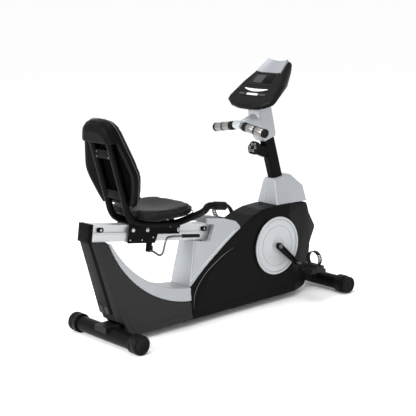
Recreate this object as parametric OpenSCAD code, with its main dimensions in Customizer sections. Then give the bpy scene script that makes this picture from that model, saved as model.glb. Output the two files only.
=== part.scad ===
// Recumbent exercise bike: rail-mounted seat, low step-through body, mast with console.
// Rider faces +X, left is +Y, floor is z = 0. Built from the rear foot axis, then centred.

/* [Overall] */
// Distance between the rear and front foot tubes
foot_base = 1455; // [1400:5:1500]
// Width over the rear foot caps
rear_foot_w = 544; // [520:2:560]
// Width over the front foot wheels
front_foot_w = 524; // [500:2:540]
// Diameter of the foot tubes
foot_d = 76; // [70:1:80]
// Diameter of the foot caps
cap_d = 96; // [90:1:100]

/* [Seat rail] */
// Height of the rail's top face above the rear foot axis
rail_z = 587; // [575:1:600]
// Forward slope of the rail in degrees
rail_tilt = 8.7; // [8:0.1:9.5]
// Width of the rail extrusion
rail_w = 72; // [68:1:74]
// Height of the rail extrusion
rail_h = 80; // [76:1:82]

/* [Seat] */
// Half width of the seat cushion
seat_hw = 190; // [175:1:200]
// Thickness of the seat cushion
seat_t = 44; // [40:1:60]
// Half width of the backrest
back_hw = 191; // [180:1:195]
// Height of the backrest
back_len = 448; // [440:2:460]
// Recline of the backrest from vertical in degrees
back_recline = 14.7; // [14:0.1:15.4]

/* [Crank] */
// Crank axis, forward of the rear foot axis
crank_x = 1059; // [1050:1:1070]
// Height of the crank axis
crank_z = 313; // [305:1:320]
// Length of the crank arms
crank_len = 172; // [160:1:175]
// Right crank's angle below the horizontal in degrees
crank_rest = 41; // [0:1:90]
// Diameter of the round crank covers
cover_d = 312; // [300:2:320]

/* [Mast] */
// Lean of the mast towards the rider in degrees
mast_lean = 16; // [12:0.5:18]
// Depth of the mast tube
mast_a = 73; // [66:1:76]
// Width of the mast tube
mast_b = 44; // [40:1:50]

/* [Hidden] */
$fn = 64;
cap_reach = 128.4;      // how far the rail cap reaches behind the rear foot axis
mid_x = (foot_base + cap_d / 2 - cap_reach) / 2;
foot_z = cap_d / 2;
body_hw = 90;           // half width of the lower casing
skin = 4;               // casing wall
fit = 0.05;             // running clearance on a radius
beam_top = 122;
flywheel_at = [1270, 280];
wheel_r = 80;
shoe_at = [1182, 238];
pulley_r = 118;
small_r = 28;
belt_y = 44;
mast_base = [1176, 545];
mast_len = 575;
console_at = [1036, 1172];
console_tilt = 40;

// ---------- frames and shared shapes ----------

module bike() { translate([-mid_x, 0, 0]) children(); }

// Rail frame: x runs forward down the rail, z is square to its top face
module on_rail() { bike() translate([0, 0, rail_z]) rotate([0, rail_tilt, 0]) children(); }

// Mast frame: z runs up the mast's axis
module on_mast() { bike() translate([mast_base[0], 0, mast_base[1]]) rotate([0, -mast_lean, 0]) children(); }

// Console frame: x runs up the face, z points at the rider
module on_console() { bike() translate([console_at[0], 0, console_at[1]]) rotate([0, -console_tilt, 0]) children(); }

// Crank frame: z points to the rider's left
module on_axis(x, z) { bike() translate([x, 0, z]) rotate([-90, 0, 0]) children(); }

function rail_top(x) = rail_z - x * tan(rail_tilt);
function rail_bottom(x) = rail_top(x) - rail_h / cos(rail_tilt);
function arc(c, r, a0, a1, n) = [for (i = [0:n]) c + r * [cos(a0 + (a1 - a0) * i / n), sin(a0 + (a1 - a0) * i / n)]];

// Extrudes an outline drawn in x and z across the whole width
module side_plate(y0, y1) { translate([0, y1, 0]) rotate([90, 0, 0]) linear_extrude(y1 - y0) children(); }

// A bar along x from x0 to x1, centred in y
module bar_x(x0, x1, w, z0, z1) { translate([x0, -w / 2, z0]) cube([x1 - x0, w, z1 - z0]); }

module rounded_rect(a, b, r) {
    square([a - 2 * r, b], center = true);
    square([a, b - 2 * r], center = true);
    for (x = [-1, 1], y = [-1, 1]) translate([x * (a / 2 - r), y * (b / 2 - r)]) circle(r);
}

// A cylinder across the bike from y0 to y1
module pin_y(r, y0, y1) { translate([0, y0, 0]) rotate([-90, 0, 0]) cylinder(r = r, h = y1 - y0); }

// A straight round rod between two points
module rod(p, q, r) {
    d = q - p;
    l = norm(d);
    translate(p) rotate([0, acos(d[2] / l), atan2(d[1], d[0])]) cylinder(r = r, h = l);
}

// A path with its corners cut once
function eased(p) = concat(
    [p[0]],
    [for (i = [0:len(p) - 2], k = [0.25, 0.75]) p[i] + (p[i + 1] - p[i]) * k],
    [p[len(p) - 1]]);
function heading(p, i) = let(d = p[min(i + 1, len(p) - 1)] - p[max(i - 1, 0)]) d / norm(d);
function sideways(p, i, v) = i == len(p) ? [] :
    let(t = heading(p, i), w = v - (v * t) * t, u = w / norm(w)) concat([u], sideways(p, i + 1, u));
function ring(p, i, u, r, n) = let(t = heading(p, i), v = cross(t, u))
    [for (k = [0:n - 1]) p[i] + r * (cos(360 * k / n) * u + sin(360 * k / n) * v)];

// A round tube swept along a path, with bore radius r_in
module pipe(p, r, r_in, v) {
    n = 16;
    m = len(p);
    u = sideways(p, 0, v);
    pts = concat(
        [for (i = [0:m - 1]) each ring(p, i, u[i], r, n)],
        [for (i = [0:m - 1]) each ring(p, i, u[i], r_in, n)]);
    b = m * n;
    polyhedron(pts, concat(
        [for (i = [0:m - 2], k = [0:n - 1]) each [[i * n + k, (i + 1) * n + k, i * n + (k + 1) % n],
                                                  [(i + 1) * n + k, (i + 1) * n + (k + 1) % n, i * n + (k + 1) % n]]],
        [for (i = [0:m - 2], k = [0:n - 1]) each [[b + i * n + k, b + i * n + (k + 1) % n, b + (i + 1) * n + k],
                                                  [b + (i + 1) * n + k, b + i * n + (k + 1) % n, b + (i + 1) * n + (k + 1) % n]]],
        [for (k = [0:n - 1]) [k, (k + 1) % n, b + (k + 1) % n, b + k]],
        [for (k = [0:n - 1]) let(q = (m - 1) * n) [q + k, b + q + k, b + q + (k + 1) % n, q + (k + 1) % n]]
    ));
}

// Full width of the casings, or one side of it: side -1 is the rider's right
module side_half(side) { side_plate(side < 0 ? -100 : 0, side < 0 ? 0 : 100) children(); }

// ---------- base and frame ----------

module base_beam() {
    color([0.32, 0.33, 0.35]) bike() {
        difference() {
            union() {
                bar_x(34, foot_base - 34, 60, 62, beam_top);
                for (x = [0, foot_base]) bar_x(x - 44, x + 44, 90, 62, 92);
            }
            bar_x(30, foot_base - 30, 54, 65, beam_top - 3);
            for (x = [0, foot_base]) translate([x, 0, foot_z]) pin_y(foot_d / 2, -80, 80);
        }
    }
}

// Box-section post from the beam up to the rail's underside
module post(x0, x1, w) {
    difference() {
        side_plate(-25, 25) polygon([
            [x0, beam_top], [x0 + w, beam_top], [x1 + w, rail_bottom(x1 + w)], [x1, rail_bottom(x1)]]);
        side_plate(-22, 22) polygon([
            [x0 + 4, beam_top - 1], [x0 + w - 4, beam_top - 1], [x1 + w - 4, rail_bottom(x1) + 1],
                                     [x1 + 4, rail_bottom(x1) + 1]]);
    }
}

module rail_posts() {
    color([0.25, 0.26, 0.28]) bike() {
        post(45, -64, 42);
        post(500, 544, 48);
    }
}

module front_post() {
    color([0.25, 0.26, 0.28]) {
        bike() {
            difference() {
                union() {
                    side_plate(-25, 25) polygon([
                        [1096, beam_top], [1150, beam_top], [1150, 430], [1215, 520], [1150, 533], [1096, 440]]);
                    translate([crank_x, 0, crank_z]) pin_y(28, -34, 34);
                    bar_x(crank_x, 1100, 50, crank_z - 22, crank_z + 22);
                }
                translate([crank_x, 0, crank_z]) pin_y(20, -40, 40);
                side_plate(-22, 22) polygon([[1100, beam_top - 1], [1146, beam_top - 1], [1146, 428], [1100, 428]]);
            }
            difference() {
                for (y = [-16, 9]) translate([1148, y, 226]) cube([44, 7, 24]);
                translate([shoe_at[0], 0, shoe_at[1]]) pin_y(3, -30, 30);
            }
            translate([shoe_at[0], 0, shoe_at[1]]) pin_y(3, -16, 16);
        }
        on_mast() translate([0, 0, -20]) linear_extrude(110) rounded_rect(mast_a - 6, mast_b - 6, 6);
    }
}

module stabiliser(x, w) {
    bike() translate([x, 0, foot_z]) difference() {
        pin_y(foot_d / 2, -w / 2, w / 2);
        pin_y(foot_d / 2 - 3, -w / 2 - 1, w / 2 + 1);
    }
}

module foot_tubes() {
    color([0.12, 0.12, 0.13]) {
        stabiliser(0, rear_foot_w - 40);
        stabiliser(foot_base, front_foot_w - 70);
    }
}

// One foot cap on the +y end of a tube: collar outside, flat foot below
module foot_cap(outer, y_end) {
    difference() {
        union() {
            pin_y(cap_d / 2, outer - 62, y_end - 6);
            pin_y(cap_d / 2 - 5, y_end - 6.01, y_end);
            translate([-14, outer - 62, -foot_z]) cube([28, y_end - outer + 56, 20]);
        }
        pin_y(foot_d / 2, outer - 80, outer - 20);
        translate([-60, outer - 80, -foot_z - 20]) cube([120, 200, 20]);
    }
}

module rear_foot_caps() {
    color([0.06, 0.06, 0.065]) bike() translate([0, 0, foot_z]) for (m = [0, 1])
        mirror([0, m, 0]) foot_cap(rear_foot_w / 2, rear_foot_w / 2);
}

module front_foot_caps() {
    color([0.06, 0.06, 0.065]) bike() translate([foot_base, 0, foot_z]) for (m = [0, 1])
        mirror([0, m, 0]) {
            foot_cap(front_foot_w / 2 - 15, front_foot_w / 2 - 27);
            pin_y(9, front_foot_w / 2 - 28, front_foot_w / 2 - 1.5);
        }
}

module transport_wheel(m) {
    color([0.09, 0.09, 0.095]) bike() translate([foot_base, 0, foot_z]) mirror([0, m, 0])
        rotate([-90, 0, 0]) translate([0, 0, front_foot_w / 2 - 26]) rotate_extrude()
            polygon([[9 + fit, 0], [36, 0], [cap_d / 2 - 6, 2], [cap_d / 2 - 3, 6], [cap_d / 2 - 3, 20],
                     [cap_d / 2 - 8, 26], [30, 26], [27, 23], [9 + fit, 23]]);
}
module transport_wheel_right() { transport_wheel(1); }
module transport_wheel_left() { transport_wheel(0); }

// ---------- seat rail ----------

rail_rear = -105;
rail_front = 640;
channel_top = -10;
channel_h = 27;

module seat_rail() {
    color([0.82, 0.83, 0.85]) on_rail() difference() {
        bar_x(rail_rear, rail_front, rail_w, -rail_h, 0);
        for (s = [-1, 1]) {
            translate([rail_rear - 1, s > 0 ? rail_w / 2 - 8 : -rail_w / 2 - 1, channel_top - channel_h])
                cube([rail_front - rail_rear + 2, 9, channel_h]);
            translate([rail_rear - 1, s > 0 ? rail_w / 2 - 2 : -rail_w / 2 - 1, -44])
                cube([rail_front - rail_rear + 2, 3, 3]);
        }
        bar_x(rail_rear - 1, rail_front + 1, rail_w - 22, -rail_h + 4, -4);
        for (i = [0:11]) translate([80 + i * 30, 0, -rail_h - 1]) cylinder(r = 6, h = 8);
    }
}

module rail_rear_cap() {
    color([0.07, 0.07, 0.075]) on_rail() difference() {
        union() {
            bar_x(rail_rear - 12, rail_rear, rail_w + 10, -rail_h - 4, 4);
            difference() {
                bar_x(rail_rear - 1, rail_rear + 14, rail_w + 10, -rail_h - 4, 4);
                bar_x(rail_rear - 2, rail_rear + 15, rail_w, -rail_h, 0);
            }
        }
        for (s = [-1, 1]) translate([rail_rear - 13, s * 24, -20]) rotate([0, 90, 0]) cylinder(r = 3, h = 4);
    }
}

roller_z = -23.5;
lock_x = 272;
lever_z = -126;

module rail_end_stops() {
    color([0.05, 0.05, 0.055]) on_rail() for (x = [-62, 590], s = [-1, 1])
        translate([x, s > 0 ? rail_w / 2 - 8 : -rail_w / 2 + 2, channel_top - channel_h + 1])
            cube([36, 6, channel_h - 2]);
}

// ---------- casings ----------

// Boundary between the rear casing and the silver arch, and the arch's upper edge
low_c = [510, 679];
low_r = 553;
high_c = [493, 750];
high_r = 552;

function low_arc(n) = arc(low_c, low_r, 199.6, 265.2, n);
function high_arc(n) = arc(high_c, high_r, 207.5, 266.8, n);

// Convex envelope that sets the rear casing's width, shrunk by t on every side
module rear_envelope(t) {
    hull() {
        for (s = [-1, 1]) {
            translate([-124 + t, s * (34 - t), 545]) cube(0.1);
            translate([-96 + t, s * (46 - t), 545]) cube(0.1);
            translate([-2 + t, s * (40 - t), 100]) cube(0.1);
            translate([50 + t, s * (74 - t), 100]) cube(0.1);
            translate([20 + t, s * (40 - t), 28 + t]) cube(0.1);
            translate([70 + t, s * (80 - t), 28 + t]) cube(0.1);
            translate([470, s * (body_hw - t), 28 + t]) cube(0.1);
            translate([470, s * (68 - t), 300]) cube(0.1);
            translate([470, s * (54 - t), 545]) cube(0.1);
        }
    }
}

module rear_profile() {
    polygon(concat(
        [[466, 30], [466, 126]],
        [for (i = [0:18]) low_arc(18)[18 - i]],
        [[-20, rail_bottom(-20) - 1], [-118, rail_bottom(-118) - 1], [-12, 146], [6, 136]],
        arc([0, foot_z], 64, 75, 8, 6),
        [[66, 30]]
    ));
}

module rear_casing(side) {
    color([0.05, 0.05, 0.055]) bike() difference() {
        intersection() {
            side_half(side) rear_profile();
            rear_envelope(0);
        }
        intersection() {
            side_plate(-100, 100) offset(delta = -skin) rear_profile();
            rear_envelope(skin);
        }
        side_plate(-26, 26) polygon([[42, beam_top], [90, beam_top], [-18, 522], [-68, 522]]);
        bar_x(400, 480, 64, 50, beam_top + 2);
        bar_x(-60, 80, 94, 50, 100);
        bar_x(-60, 80, 64, 90, beam_top + 2);
        translate([0, 0, rail_z]) rotate([0, rail_tilt, 0]) bar_x(-140, -88, 90, -85, 10);
    }
}
module rear_casing_right() { rear_casing(-1); }
module rear_casing_left() { rear_casing(1); }

module arch_profile() {
    polygon(concat(
        [for (p = low_arc(18)) p + [0.2, 0.3]],
        [[465.9, 128.6], [465.9, 195.4], [461.2, 195.4]],
        [for (i = [0:18]) let(p = high_arc(18)[18 - i]) [min(p[0], 461.2), p[1]]]
    ));
}

module silver_arch() {
    color([0.74, 0.75, 0.77]) bike() difference() {
        intersection() {
            side_plate(-100, 100) arch_profile();
            rear_envelope(0);
        }
        intersection() {
            side_plate(-100, 100) offset(delta = -3) arch_profile();
            rear_envelope(3);
        }
    }
}

// Boundary between the silver panels and the front casing
function panel_arc(n) = arc([1539, -885], 1526, 134.9, 119, n);

module front_envelope(t) {
    hull() {
        for (s = [-1, 1]) {
            translate([460, s * (body_hw - t), 28 + t]) cube(0.1);
            translate([460, s * (74 - t), 190]) cube(0.1);
            translate([520, s * (58 - t), 520]) cube(0.1);
            translate([640, s * (body_hw - t), 330]) cube(0.1);
            translate([840, s * (body_hw - t), 470]) cube(0.1);
            translate([640, s * (66 - t), 540]) cube(0.1);
            translate([1160, s * (body_hw - t), 470]) cube(0.1);
            translate([1180, s * (76 - t), 540]) cube(0.1);
            translate([1200, s * (body_hw - t), 28 + t]) cube(0.1);
            translate([1322 - t, s * (46 - t), 28 + t]) cube(0.1);
            translate([1376 - t, s * (38 - t), 230]) cube(0.1);
            translate([1352 - t, s * (44 - t), 510]) cube(0.1);
            translate([1438 - t, s * 14, 352]) cube(0.1);
            translate([1438 - t, s * 14, 338]) cube(0.1);
        }
    }
}

module silver_profile() {
    polygon(concat(
        [for (p = panel_arc(14)) p + [-0.3, 0.3]],
        [[800, 462], [775, 490], [720, 508], [606, 526], [560, 520], [520, 500], [517, 425]]
    ));
}

module front_profile() {
    polygon(concat(
        [[466.3, 30], [466.3, 196]],
        panel_arc(14),
        [[843, 470], [900, 498], [970, 518], [1070, 524], [1300, 512], [1338, 500], [1364, 440], [1438, 352],
         [1438, 338], [1374, 268], [1362, 200], [1336, 60], [1318, 34], [1280, 30]]
    ));
}

module rail_clearance(g) {
    translate([0, 0, rail_z]) rotate([0, rail_tilt, 0]) bar_x(300, rail_front + 6, rail_w + 2 * g, -rail_h - g, g);
}

module silver_panel(side) {
    color([0.74, 0.75, 0.77]) bike() difference() {
        intersection() {
            side_half(side) silver_profile();
            front_envelope(0);
        }
        intersection() {
            side_plate(-100, 100) offset(delta = -3) silver_profile();
            front_envelope(3);
        }
        side_plate(-100, 100) polygon([
            [480, rail_bottom(480) - 3], [600, rail_bottom(600) - 3], [638, rail_top(638) + 3],
                                       [596, rail_top(596) + 3], [596, 600], [480, 600]]);
        side_plate(-50, 50) polygon([[560, 400], [900, 360], [900, 600], [560, 600]]);
        rail_clearance(2);
        side_plate(-26, 26) polygon([[498, beam_top], [552, beam_top], [596, 424], [540, 432]]);
    }
}
module silver_panel_right() { silver_panel(-1); }
module silver_panel_left() { silver_panel(1); }

module front_casing(side) {
    color([0.035, 0.035, 0.04]) bike() difference() {
        intersection() {
            side_half(side) front_profile();
            front_envelope(0);
        }
        intersection() {
            side_plate(-100, 100) offset(delta = -skin) front_profile();
            front_envelope(skin);
        }
        translate([crank_x, 0, crank_z]) pin_y(16, -100, 100);
        rail_clearance(2);
        bar_x(440, 480, 64, 50, beam_top + 2);
        bar_x(1300, 1480, 64, 50, beam_top + 2);
        translate([mast_base[0], 0, mast_base[1]]) rotate([0, -mast_lean, 0])
            translate([0, 0, -60]) linear_extrude(160) rounded_rect(mast_a + 8, mast_b + 12, 6);
        bar_x(1130, 1225, 56, 490, 560);
        side_plate(-26, 26) polygon([[494, 118], [554, 118], [600, 424], [536, 432]]);
    }
}
module front_casing_right() { front_casing(-1); }
module front_casing_left() { front_casing(1); }

module neck_shape(t) {
    hull() {
        for (s = [-1, 1]) {
            translate([1082 + t, s * (74 - t), 525 - 6 * t]) cube(0.1);
            translate([1326 - t, s * (58 - t), 514 - 6 * t]) cube(0.1);
            translate([1098 + t, s * (44 - t), 650 - t]) cube(0.1);
            translate([1098 + 3 * t, s * (34 - t), 662 - t]) cube(0.1);
            translate([1222 - t, s * (34 - t), 672 - t]) cube(0.1);
            translate([1308 - t, s * (46 - t), 600 - t]) cube(0.1);
        }
    }
}

module neck_cover() {
    color([0.74, 0.75, 0.77]) difference() {
        bike() difference() {
            neck_shape(0);
            neck_shape(3);
        }
        on_mast() translate([0, 0, -60]) linear_extrude(300) rounded_rect(mast_a + 2, mast_b + 2, 9);
    }
}

// ---------- mast and handlebar ----------

inner_a = mast_a - 7;
inner_b = mast_b - 7;
cover_h = 348;
knob_at = [1003, 0, 831];
knob_tilt = 20;

module knob_frame() { bike() translate(knob_at) rotate([0, -90 + knob_tilt, 0]) children(); }

module mast() {
    color([0.04, 0.04, 0.045]) difference() {
        union() {
            on_mast() linear_extrude(cover_h - 3) rounded_rect(mast_a, mast_b, 9);
            knob_frame() translate([0, 0, -58]) cylinder(r1 = 32, r2 = 29, h = 58);
            bike() side_plate(-6, 6) polygon([
                [1074, 772], [1030, 806], [1010, 822], [1052, 868], [1060, 860], [1080, 780]]);
        }
        on_mast() translate([0, 0, -1]) linear_extrude(cover_h) rounded_rect(mast_a - 6, mast_b - 6, 6);
        knob_frame() translate([0, 0, -80]) cylinder(r = 6 + fit, h = 90);
    }
}

module inner_mast() {
    color([0.5, 0.5, 0.52]) on_mast() difference() {
        translate([0, 0, 120]) linear_extrude(mast_len - 120) rounded_rect(inner_a, inner_b, 5);
        translate([0, 0, 119]) linear_extrude(mast_len) rounded_rect(inner_a - 5, inner_b - 5, 3);
    }
}

// Locking knob for the telescopic mast, with pockets in its face
module mast_knob() {
    color([0.05, 0.05, 0.055]) knob_frame() difference() {
        union() {
            translate([0, 0, -62]) cylinder(r = 6, h = 68);
            translate([0, 0, 0.6]) cylinder(r = 24, h = 6);
            translate([0, 0, 5]) cylinder(r = 36, h = 24);
        }
        for (a = [0:60:300]) rotate([0, 0, a]) translate([41, 0, 3]) cylinder(r = 8, h = 30);
        for (a = [30:60:330]) rotate([0, 0, a]) translate([20, 0, 21]) cylinder(r = 6, h = 10);
    }
}

// One level of the cover: height up the mast, rear, front, half width
module cover_level(h, a, b, w) { translate([a, -w, h]) cube([b - a, 2 * w, 1]); }

module top_cover_shape(t) {
    hull() {
        cover_level(cover_h, -44 + t, 40 - t, 29 - t);
        cover_level(372, -62 + t, 41 - t, 34 - t);
        cover_level(440, -70 + t, 41 - t, 38 - t);
        cover_level(529 + t, -50 + t, 42 - t, 42 - t);
    }
}

hub_at = [878, 0, 970];
bar_end = [888, 190, 940];
stem_end = [1026, 0, 970];

// Collar that carries the handlebar's stem into the cover
module stem_collar(t) {
    bike() translate([901 + t, 0, 970]) rotate([0, 90, 0]) cylinder(r1 = 24 - t, r2 = 50 - t, h = 94);
}

module mast_top_cover() {
    color([0.76, 0.77, 0.79]) difference() {
        union() {
            on_mast() top_cover_shape(0);
            stem_collar(0);
        }
        on_mast() {
            top_cover_shape(3);
            translate([0, 0, 300]) linear_extrude(260) rounded_rect(inner_a + 0.4, inner_b + 0.4, 5);
        }
        stem_collar(3);
        bike() rod([880, 0, 970], [1040, 0, 970], 15.2);
    }
}

module handlebar() {
    color([0.7, 0.71, 0.73]) difference() {
        bike() {
            rod(hub_at, stem_end, 15);
            translate(hub_at - [0, 26, 0]) pin_y(22, 0, 52);
            for (s = [-1, 1]) rod(hub_at, [bar_end[0], s * bar_end[1], bar_end[2]], 15);
        }
        on_mast() translate([0, 0, 100]) linear_extrude(mast_len) rounded_rect(inner_a + 0.2, inner_b + 0.2, 5);
    }
}

// A ring on the bar, from a to b of the way between the hub and the bar's end
module bar_ring(s, a, b, r_out, r_in) {
    e = [bar_end[0], s * bar_end[1], bar_end[2]];
    p = hub_at + (e - hub_at) * a;
    q = hub_at + (e - hub_at) * b;
    difference() {
        rod(p, q, r_out);
        rod(p - (q - p), q + (q - p), r_in);
    }
}

module pulse_plates() {
    color([0.66, 0.66, 0.67]) bike() for (s = [-1, 1]) {
        bar_ring(s, 0.34, 0.61, 22.5, 15);
        bar_ring(s, 0.65, 0.92, 22.5, 15);
    }
}

module grip_rings() {
    color([0.05, 0.05, 0.055]) bike() for (s = [-1, 1]) {
        bar_ring(s, 0.18, 0.34, 23.5, 15);
        bar_ring(s, 0.61, 0.65, 23, 15);
        bar_ring(s, 0.92, 1.0, 23.5, 15);
    }
}

// ---------- console ----------

wing = [[-163, 0], [-160, 60], [-146, 120], [-118, 162], [-96, 166], [10, 144], [92, 113], [178, 78]];
shelf_x = [84, 170];
shelf_y = [86, 58];

// Face outline, x up the face, shrunk by t
module console_outline(t) {
    offset(delta = -t) polygon(concat(wing, [for (i = [7:-1:1]) [wing[i][0], -wing[i][1]]]));
}

// Pod from depth z0 up to the face, with a rounded-off edge
module console_pod(t, z0) {
    hull() {
        translate([0, 0, z0]) linear_extrude(-13 - z0) console_outline(t);
        translate([0, 0, -1 - t]) linear_extrude(1) console_outline(13 + t);
    }
}

module shelf_outline(g) {
    polygon([[shelf_x[0] - g, -shelf_y[0] - g], [shelf_x[1] + g, -shelf_y[1] - g],
             [shelf_x[1] + g, shelf_y[1] + g], [shelf_x[0] - g, shelf_y[0] + g]]);
}

module key_cut(y, w) { translate([-86, y - w / 2, -8]) cube([14, w, 12]); }

module console_front() {
    color([0.05, 0.05, 0.055]) on_console() difference() {
        console_pod(0, -30);
        console_pod(3, -31);
        translate([0, -72, -2.6]) cube([68, 144, 6]);
        translate([0, 0, -16]) linear_extrude(20) shelf_outline(0.4);
        key_cut(0, 82);
        for (s = [-1, 1]) key_cut(s * 74, 46);
    }
}

// Four corner blocks that carry the rear of the pod, shrunk by t
module console_rear(t) {
    translate([150 - t, -56 + t, -78 + t]) cube([10, 112 - 2 * t, 4]);
    translate([60, -92 + t, -84 + t]) cube([10, 184 - 2 * t, 4]);
    translate([-70 + t, -104 + t, -66 + t]) cube([10, 208 - 2 * t, 4]);
}

module console_back() {
    color([0.05, 0.05, 0.055]) difference() {
        on_console() difference() {
            hull() {
                translate([0, 0, -31]) linear_extrude(0.9) console_outline(0);
                console_rear(0);
            }
            hull() {
                translate([0, 0, -31.5]) linear_extrude(2) console_outline(4);
                console_rear(4);
            }
        }
        on_mast() linear_extrude(mast_len + 2) rounded_rect(inner_a + 0.4, inner_b + 0.4, 5);
        on_mast() top_cover_shape(-0.4);
    }
}

// Silver dished rest above the screen
module console_shelf() {
    color([0.74, 0.75, 0.77]) on_console() difference() {
        translate([0, 0, -14]) linear_extrude(15.5) shelf_outline(0);
        translate([0, 0, 413]) rotate([0, 90, 0]) cylinder(r = 420, h = 300, $fn = 200);
    }
}

module console_screen() {
    color([0.10, 0.11, 0.12]) on_console() translate([0.4, -71.6, -2.5]) cube([67.2, 143.2, 2.2]);
}

module key(y, w) { on_console() translate([-85.6, y - w / 2 + 0.4, -4]) cube([13.2, w - 0.8, 5.5]); }
module start_key() { color([0.9, 0.9, 0.9]) key(0, 82); }
module left_key() { color([0.5, 0.5, 0.52]) key(74, 46); }
module right_key() { color([0.5, 0.5, 0.52]) key(-74, 46); }

// ---------- drive ----------

module crank_axle() {
    color([0.6, 0.6, 0.62]) on_axis(crank_x, crank_z) {
        translate([0, 0, -124]) cylinder(r = 8.5, h = 248);
        for (s = [-1, 1]) translate([0, 0, s * 124 - (s > 0 ? 1 : 5)]) cylinder(r = 11, h = 6);
    }
}

module crank_bearings() {
    color([0.7, 0.7, 0.72]) on_axis(crank_x, crank_z) for (z = [-34, 22]) translate([0, 0, z]) difference() {
        cylinder(r = 20, h = 12);
        translate([0, 0, -1]) cylinder(r = 8.5 + fit, h = 14);
    }
}

module drive_pulley() {
    color([0.15, 0.15, 0.16]) on_axis(crank_x, crank_z) translate([0, 0, belt_y]) difference() {
        union() {
            cylinder(r = pulley_r, h = 12);
            translate([0, 0, -3]) cylinder(r = 22, h = 20);
        }
        translate([0, 0, -10]) cylinder(r = 8.5, h = 40);
        for (a = [0:60:300]) rotate([0, 0, a]) translate([68, 0, -1]) cylinder(r = 24, h = 14);
    }
}

belt_gap = 0.5;
belt_t = 3;
belt_v = flywheel_at - [crank_x, crank_z];
idler_r = 16;
// Outward normal of the belt's lower run, and the idler that presses on it from below
belt_k = (pulley_r - small_r) / norm(belt_v);
belt_dir = belt_v / norm(belt_v);
belt_n = [belt_k * belt_dir[0] + sqrt(1 - belt_k * belt_k) * belt_dir[1],
          belt_k * belt_dir[1] - sqrt(1 - belt_k * belt_k) * belt_dir[0]];
idler_at = [crank_x, crank_z] + (pulley_r + belt_gap + belt_t + 0.3 + idler_r) * belt_n
    + 112 * [-belt_n[1], belt_n[0]];

// Outline round both pulleys, g outside their rims, drawn with z down
module belt_outline(g) {
    hull() {
        circle(pulley_r + g, $fn = 96);
        translate([belt_v[0], -belt_v[1]]) circle(small_r + g, $fn = 48);
    }
}

module drive_belt() {
    color([0.04, 0.04, 0.04]) on_axis(crank_x, crank_z) translate([0, 0, belt_y + 1]) linear_extrude(10) difference() {
        belt_outline(belt_gap + belt_t);
        belt_outline(belt_gap);
    }
}

module flywheel() {
    color([0.5, 0.5, 0.52]) on_axis(flywheel_at[0], flywheel_at[1]) {
        difference() {
            union() {
                translate([0, 0, -12]) cylinder(r = wheel_r, h = 24);
                translate([0, 0, -44]) cylinder(r = 8, h = 101);
                translate([0, 0, belt_y]) cylinder(r = small_r, h = 11);
            }
            for (z = [-13, 5]) translate([0, 0, z]) difference() {
                cylinder(r = wheel_r - 15, h = 8);
                translate([0, 0, -1]) cylinder(r = 24, h = 10);
            }
        }
    }
}

module flywheel_bracket() {
    color([0.25, 0.26, 0.28]) bike() difference() {
        union() {
            for (y = [-32, 26]) translate([flywheel_at[0] - 26, y, beam_top])
                cube([52, 6, flywheel_at[1] - beam_top + 26]);
            bar_x(flywheel_at[0] - 40, flywheel_at[0] + 40, 64, beam_top, beam_top + 6);
            translate([idler_at[0] - 14, 26, beam_top]) cube([28, 6, idler_at[1] + 12 - beam_top]);
            translate([idler_at[0] - 14, 26, beam_top]) cube([60, 6, 20]);
            translate([idler_at[0], 26, idler_at[1]]) pin_y(6, 0, 33);
        }
        translate([flywheel_at[0], 0, flywheel_at[1]]) pin_y(8 + fit, -50, 50);
    }
}

module idler_pulley() {
    color([0.2, 0.2, 0.21]) bike() translate([idler_at[0], 0, idler_at[1]]) difference() {
        pin_y(idler_r, belt_y, belt_y + 12);
        pin_y(6 + fit, belt_y - 5, belt_y + 20);
    }
}

module brake_shoe() {
    color([0.55, 0.42, 0.2]) bike() difference() {
        union() {
            translate([flywheel_at[0], 0, flywheel_at[1]]) side_plate(-8, 8)
                polygon(concat(arc([0, 0], wheel_r + 14, 204, 252, 12), arc([0, 0], wheel_r + 3, 252, 204, 12)));
            translate([shoe_at[0], 0, shoe_at[1]]) pin_y(8.5, -8, 8);
        }
        translate([shoe_at[0], 0, shoe_at[1]]) pin_y(3 + fit, -20, 20);
    }
}

module brake_motor() {
    color([0.12, 0.12, 0.13]) bike() {
        bar_x(960, 1030, 50, beam_top, beam_top + 44);
        translate([995, 0, beam_top + 44]) cylinder(r = 14, h = 8);
    }
}

pedal_off = crank_len * [cos(crank_rest), -sin(crank_rest)];

module crank_arm(s) {
    // s is -1 for the rider's right; the arms point opposite ways
    a = s < 0 ? crank_rest : crank_rest + 180;
    color([0.05, 0.05, 0.055])
    on_axis(crank_x, crank_z) translate([0, 0, s < 0 ? -122 : 106]) rotate([0, 0, a]) difference() {
        union() {
            cylinder(r = 22, h = 16);
            translate([0, -13, 2]) cube([crank_len, 26, 12]);
            translate([crank_len, 0, 1]) cylinder(r = 15, h = 14);
            translate([crank_len, 0, s < 0 ? -142 : 14]) cylinder(r = 6, h = 144);
        }
        translate([0, 0, -1]) cylinder(r = 8.5, h = 20);
    }
}
module crank_arm_right() { crank_arm(-1); }
module crank_arm_left() { crank_arm(1); }

module crank_covers() {
    color([0.78, 0.79, 0.8]) on_axis(crank_x, crank_z) for (m = [0, 1]) mirror([0, 0, m]) difference() {
        translate([0, 0, 92]) cylinder(r = cover_d / 2, h = 11);
        translate([0, 0, 99]) difference() {
            cylinder(r = cover_d / 2 - 12, h = 6);
            translate([0, 0, -1]) cylinder(r = 46, h = 8);
        }
        translate([0, 0, 90]) cylinder(r = 8.5, h = 20);
    }
}

// Pedal frame: origin on the spindle's axis, y outwards, body hanging a little low
pedal_in = 168;
pedal_w = 102;
pedal_mid = pedal_in + pedal_w / 2;
strap_foot = 29.4;
strap_t = 3.5;
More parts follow.
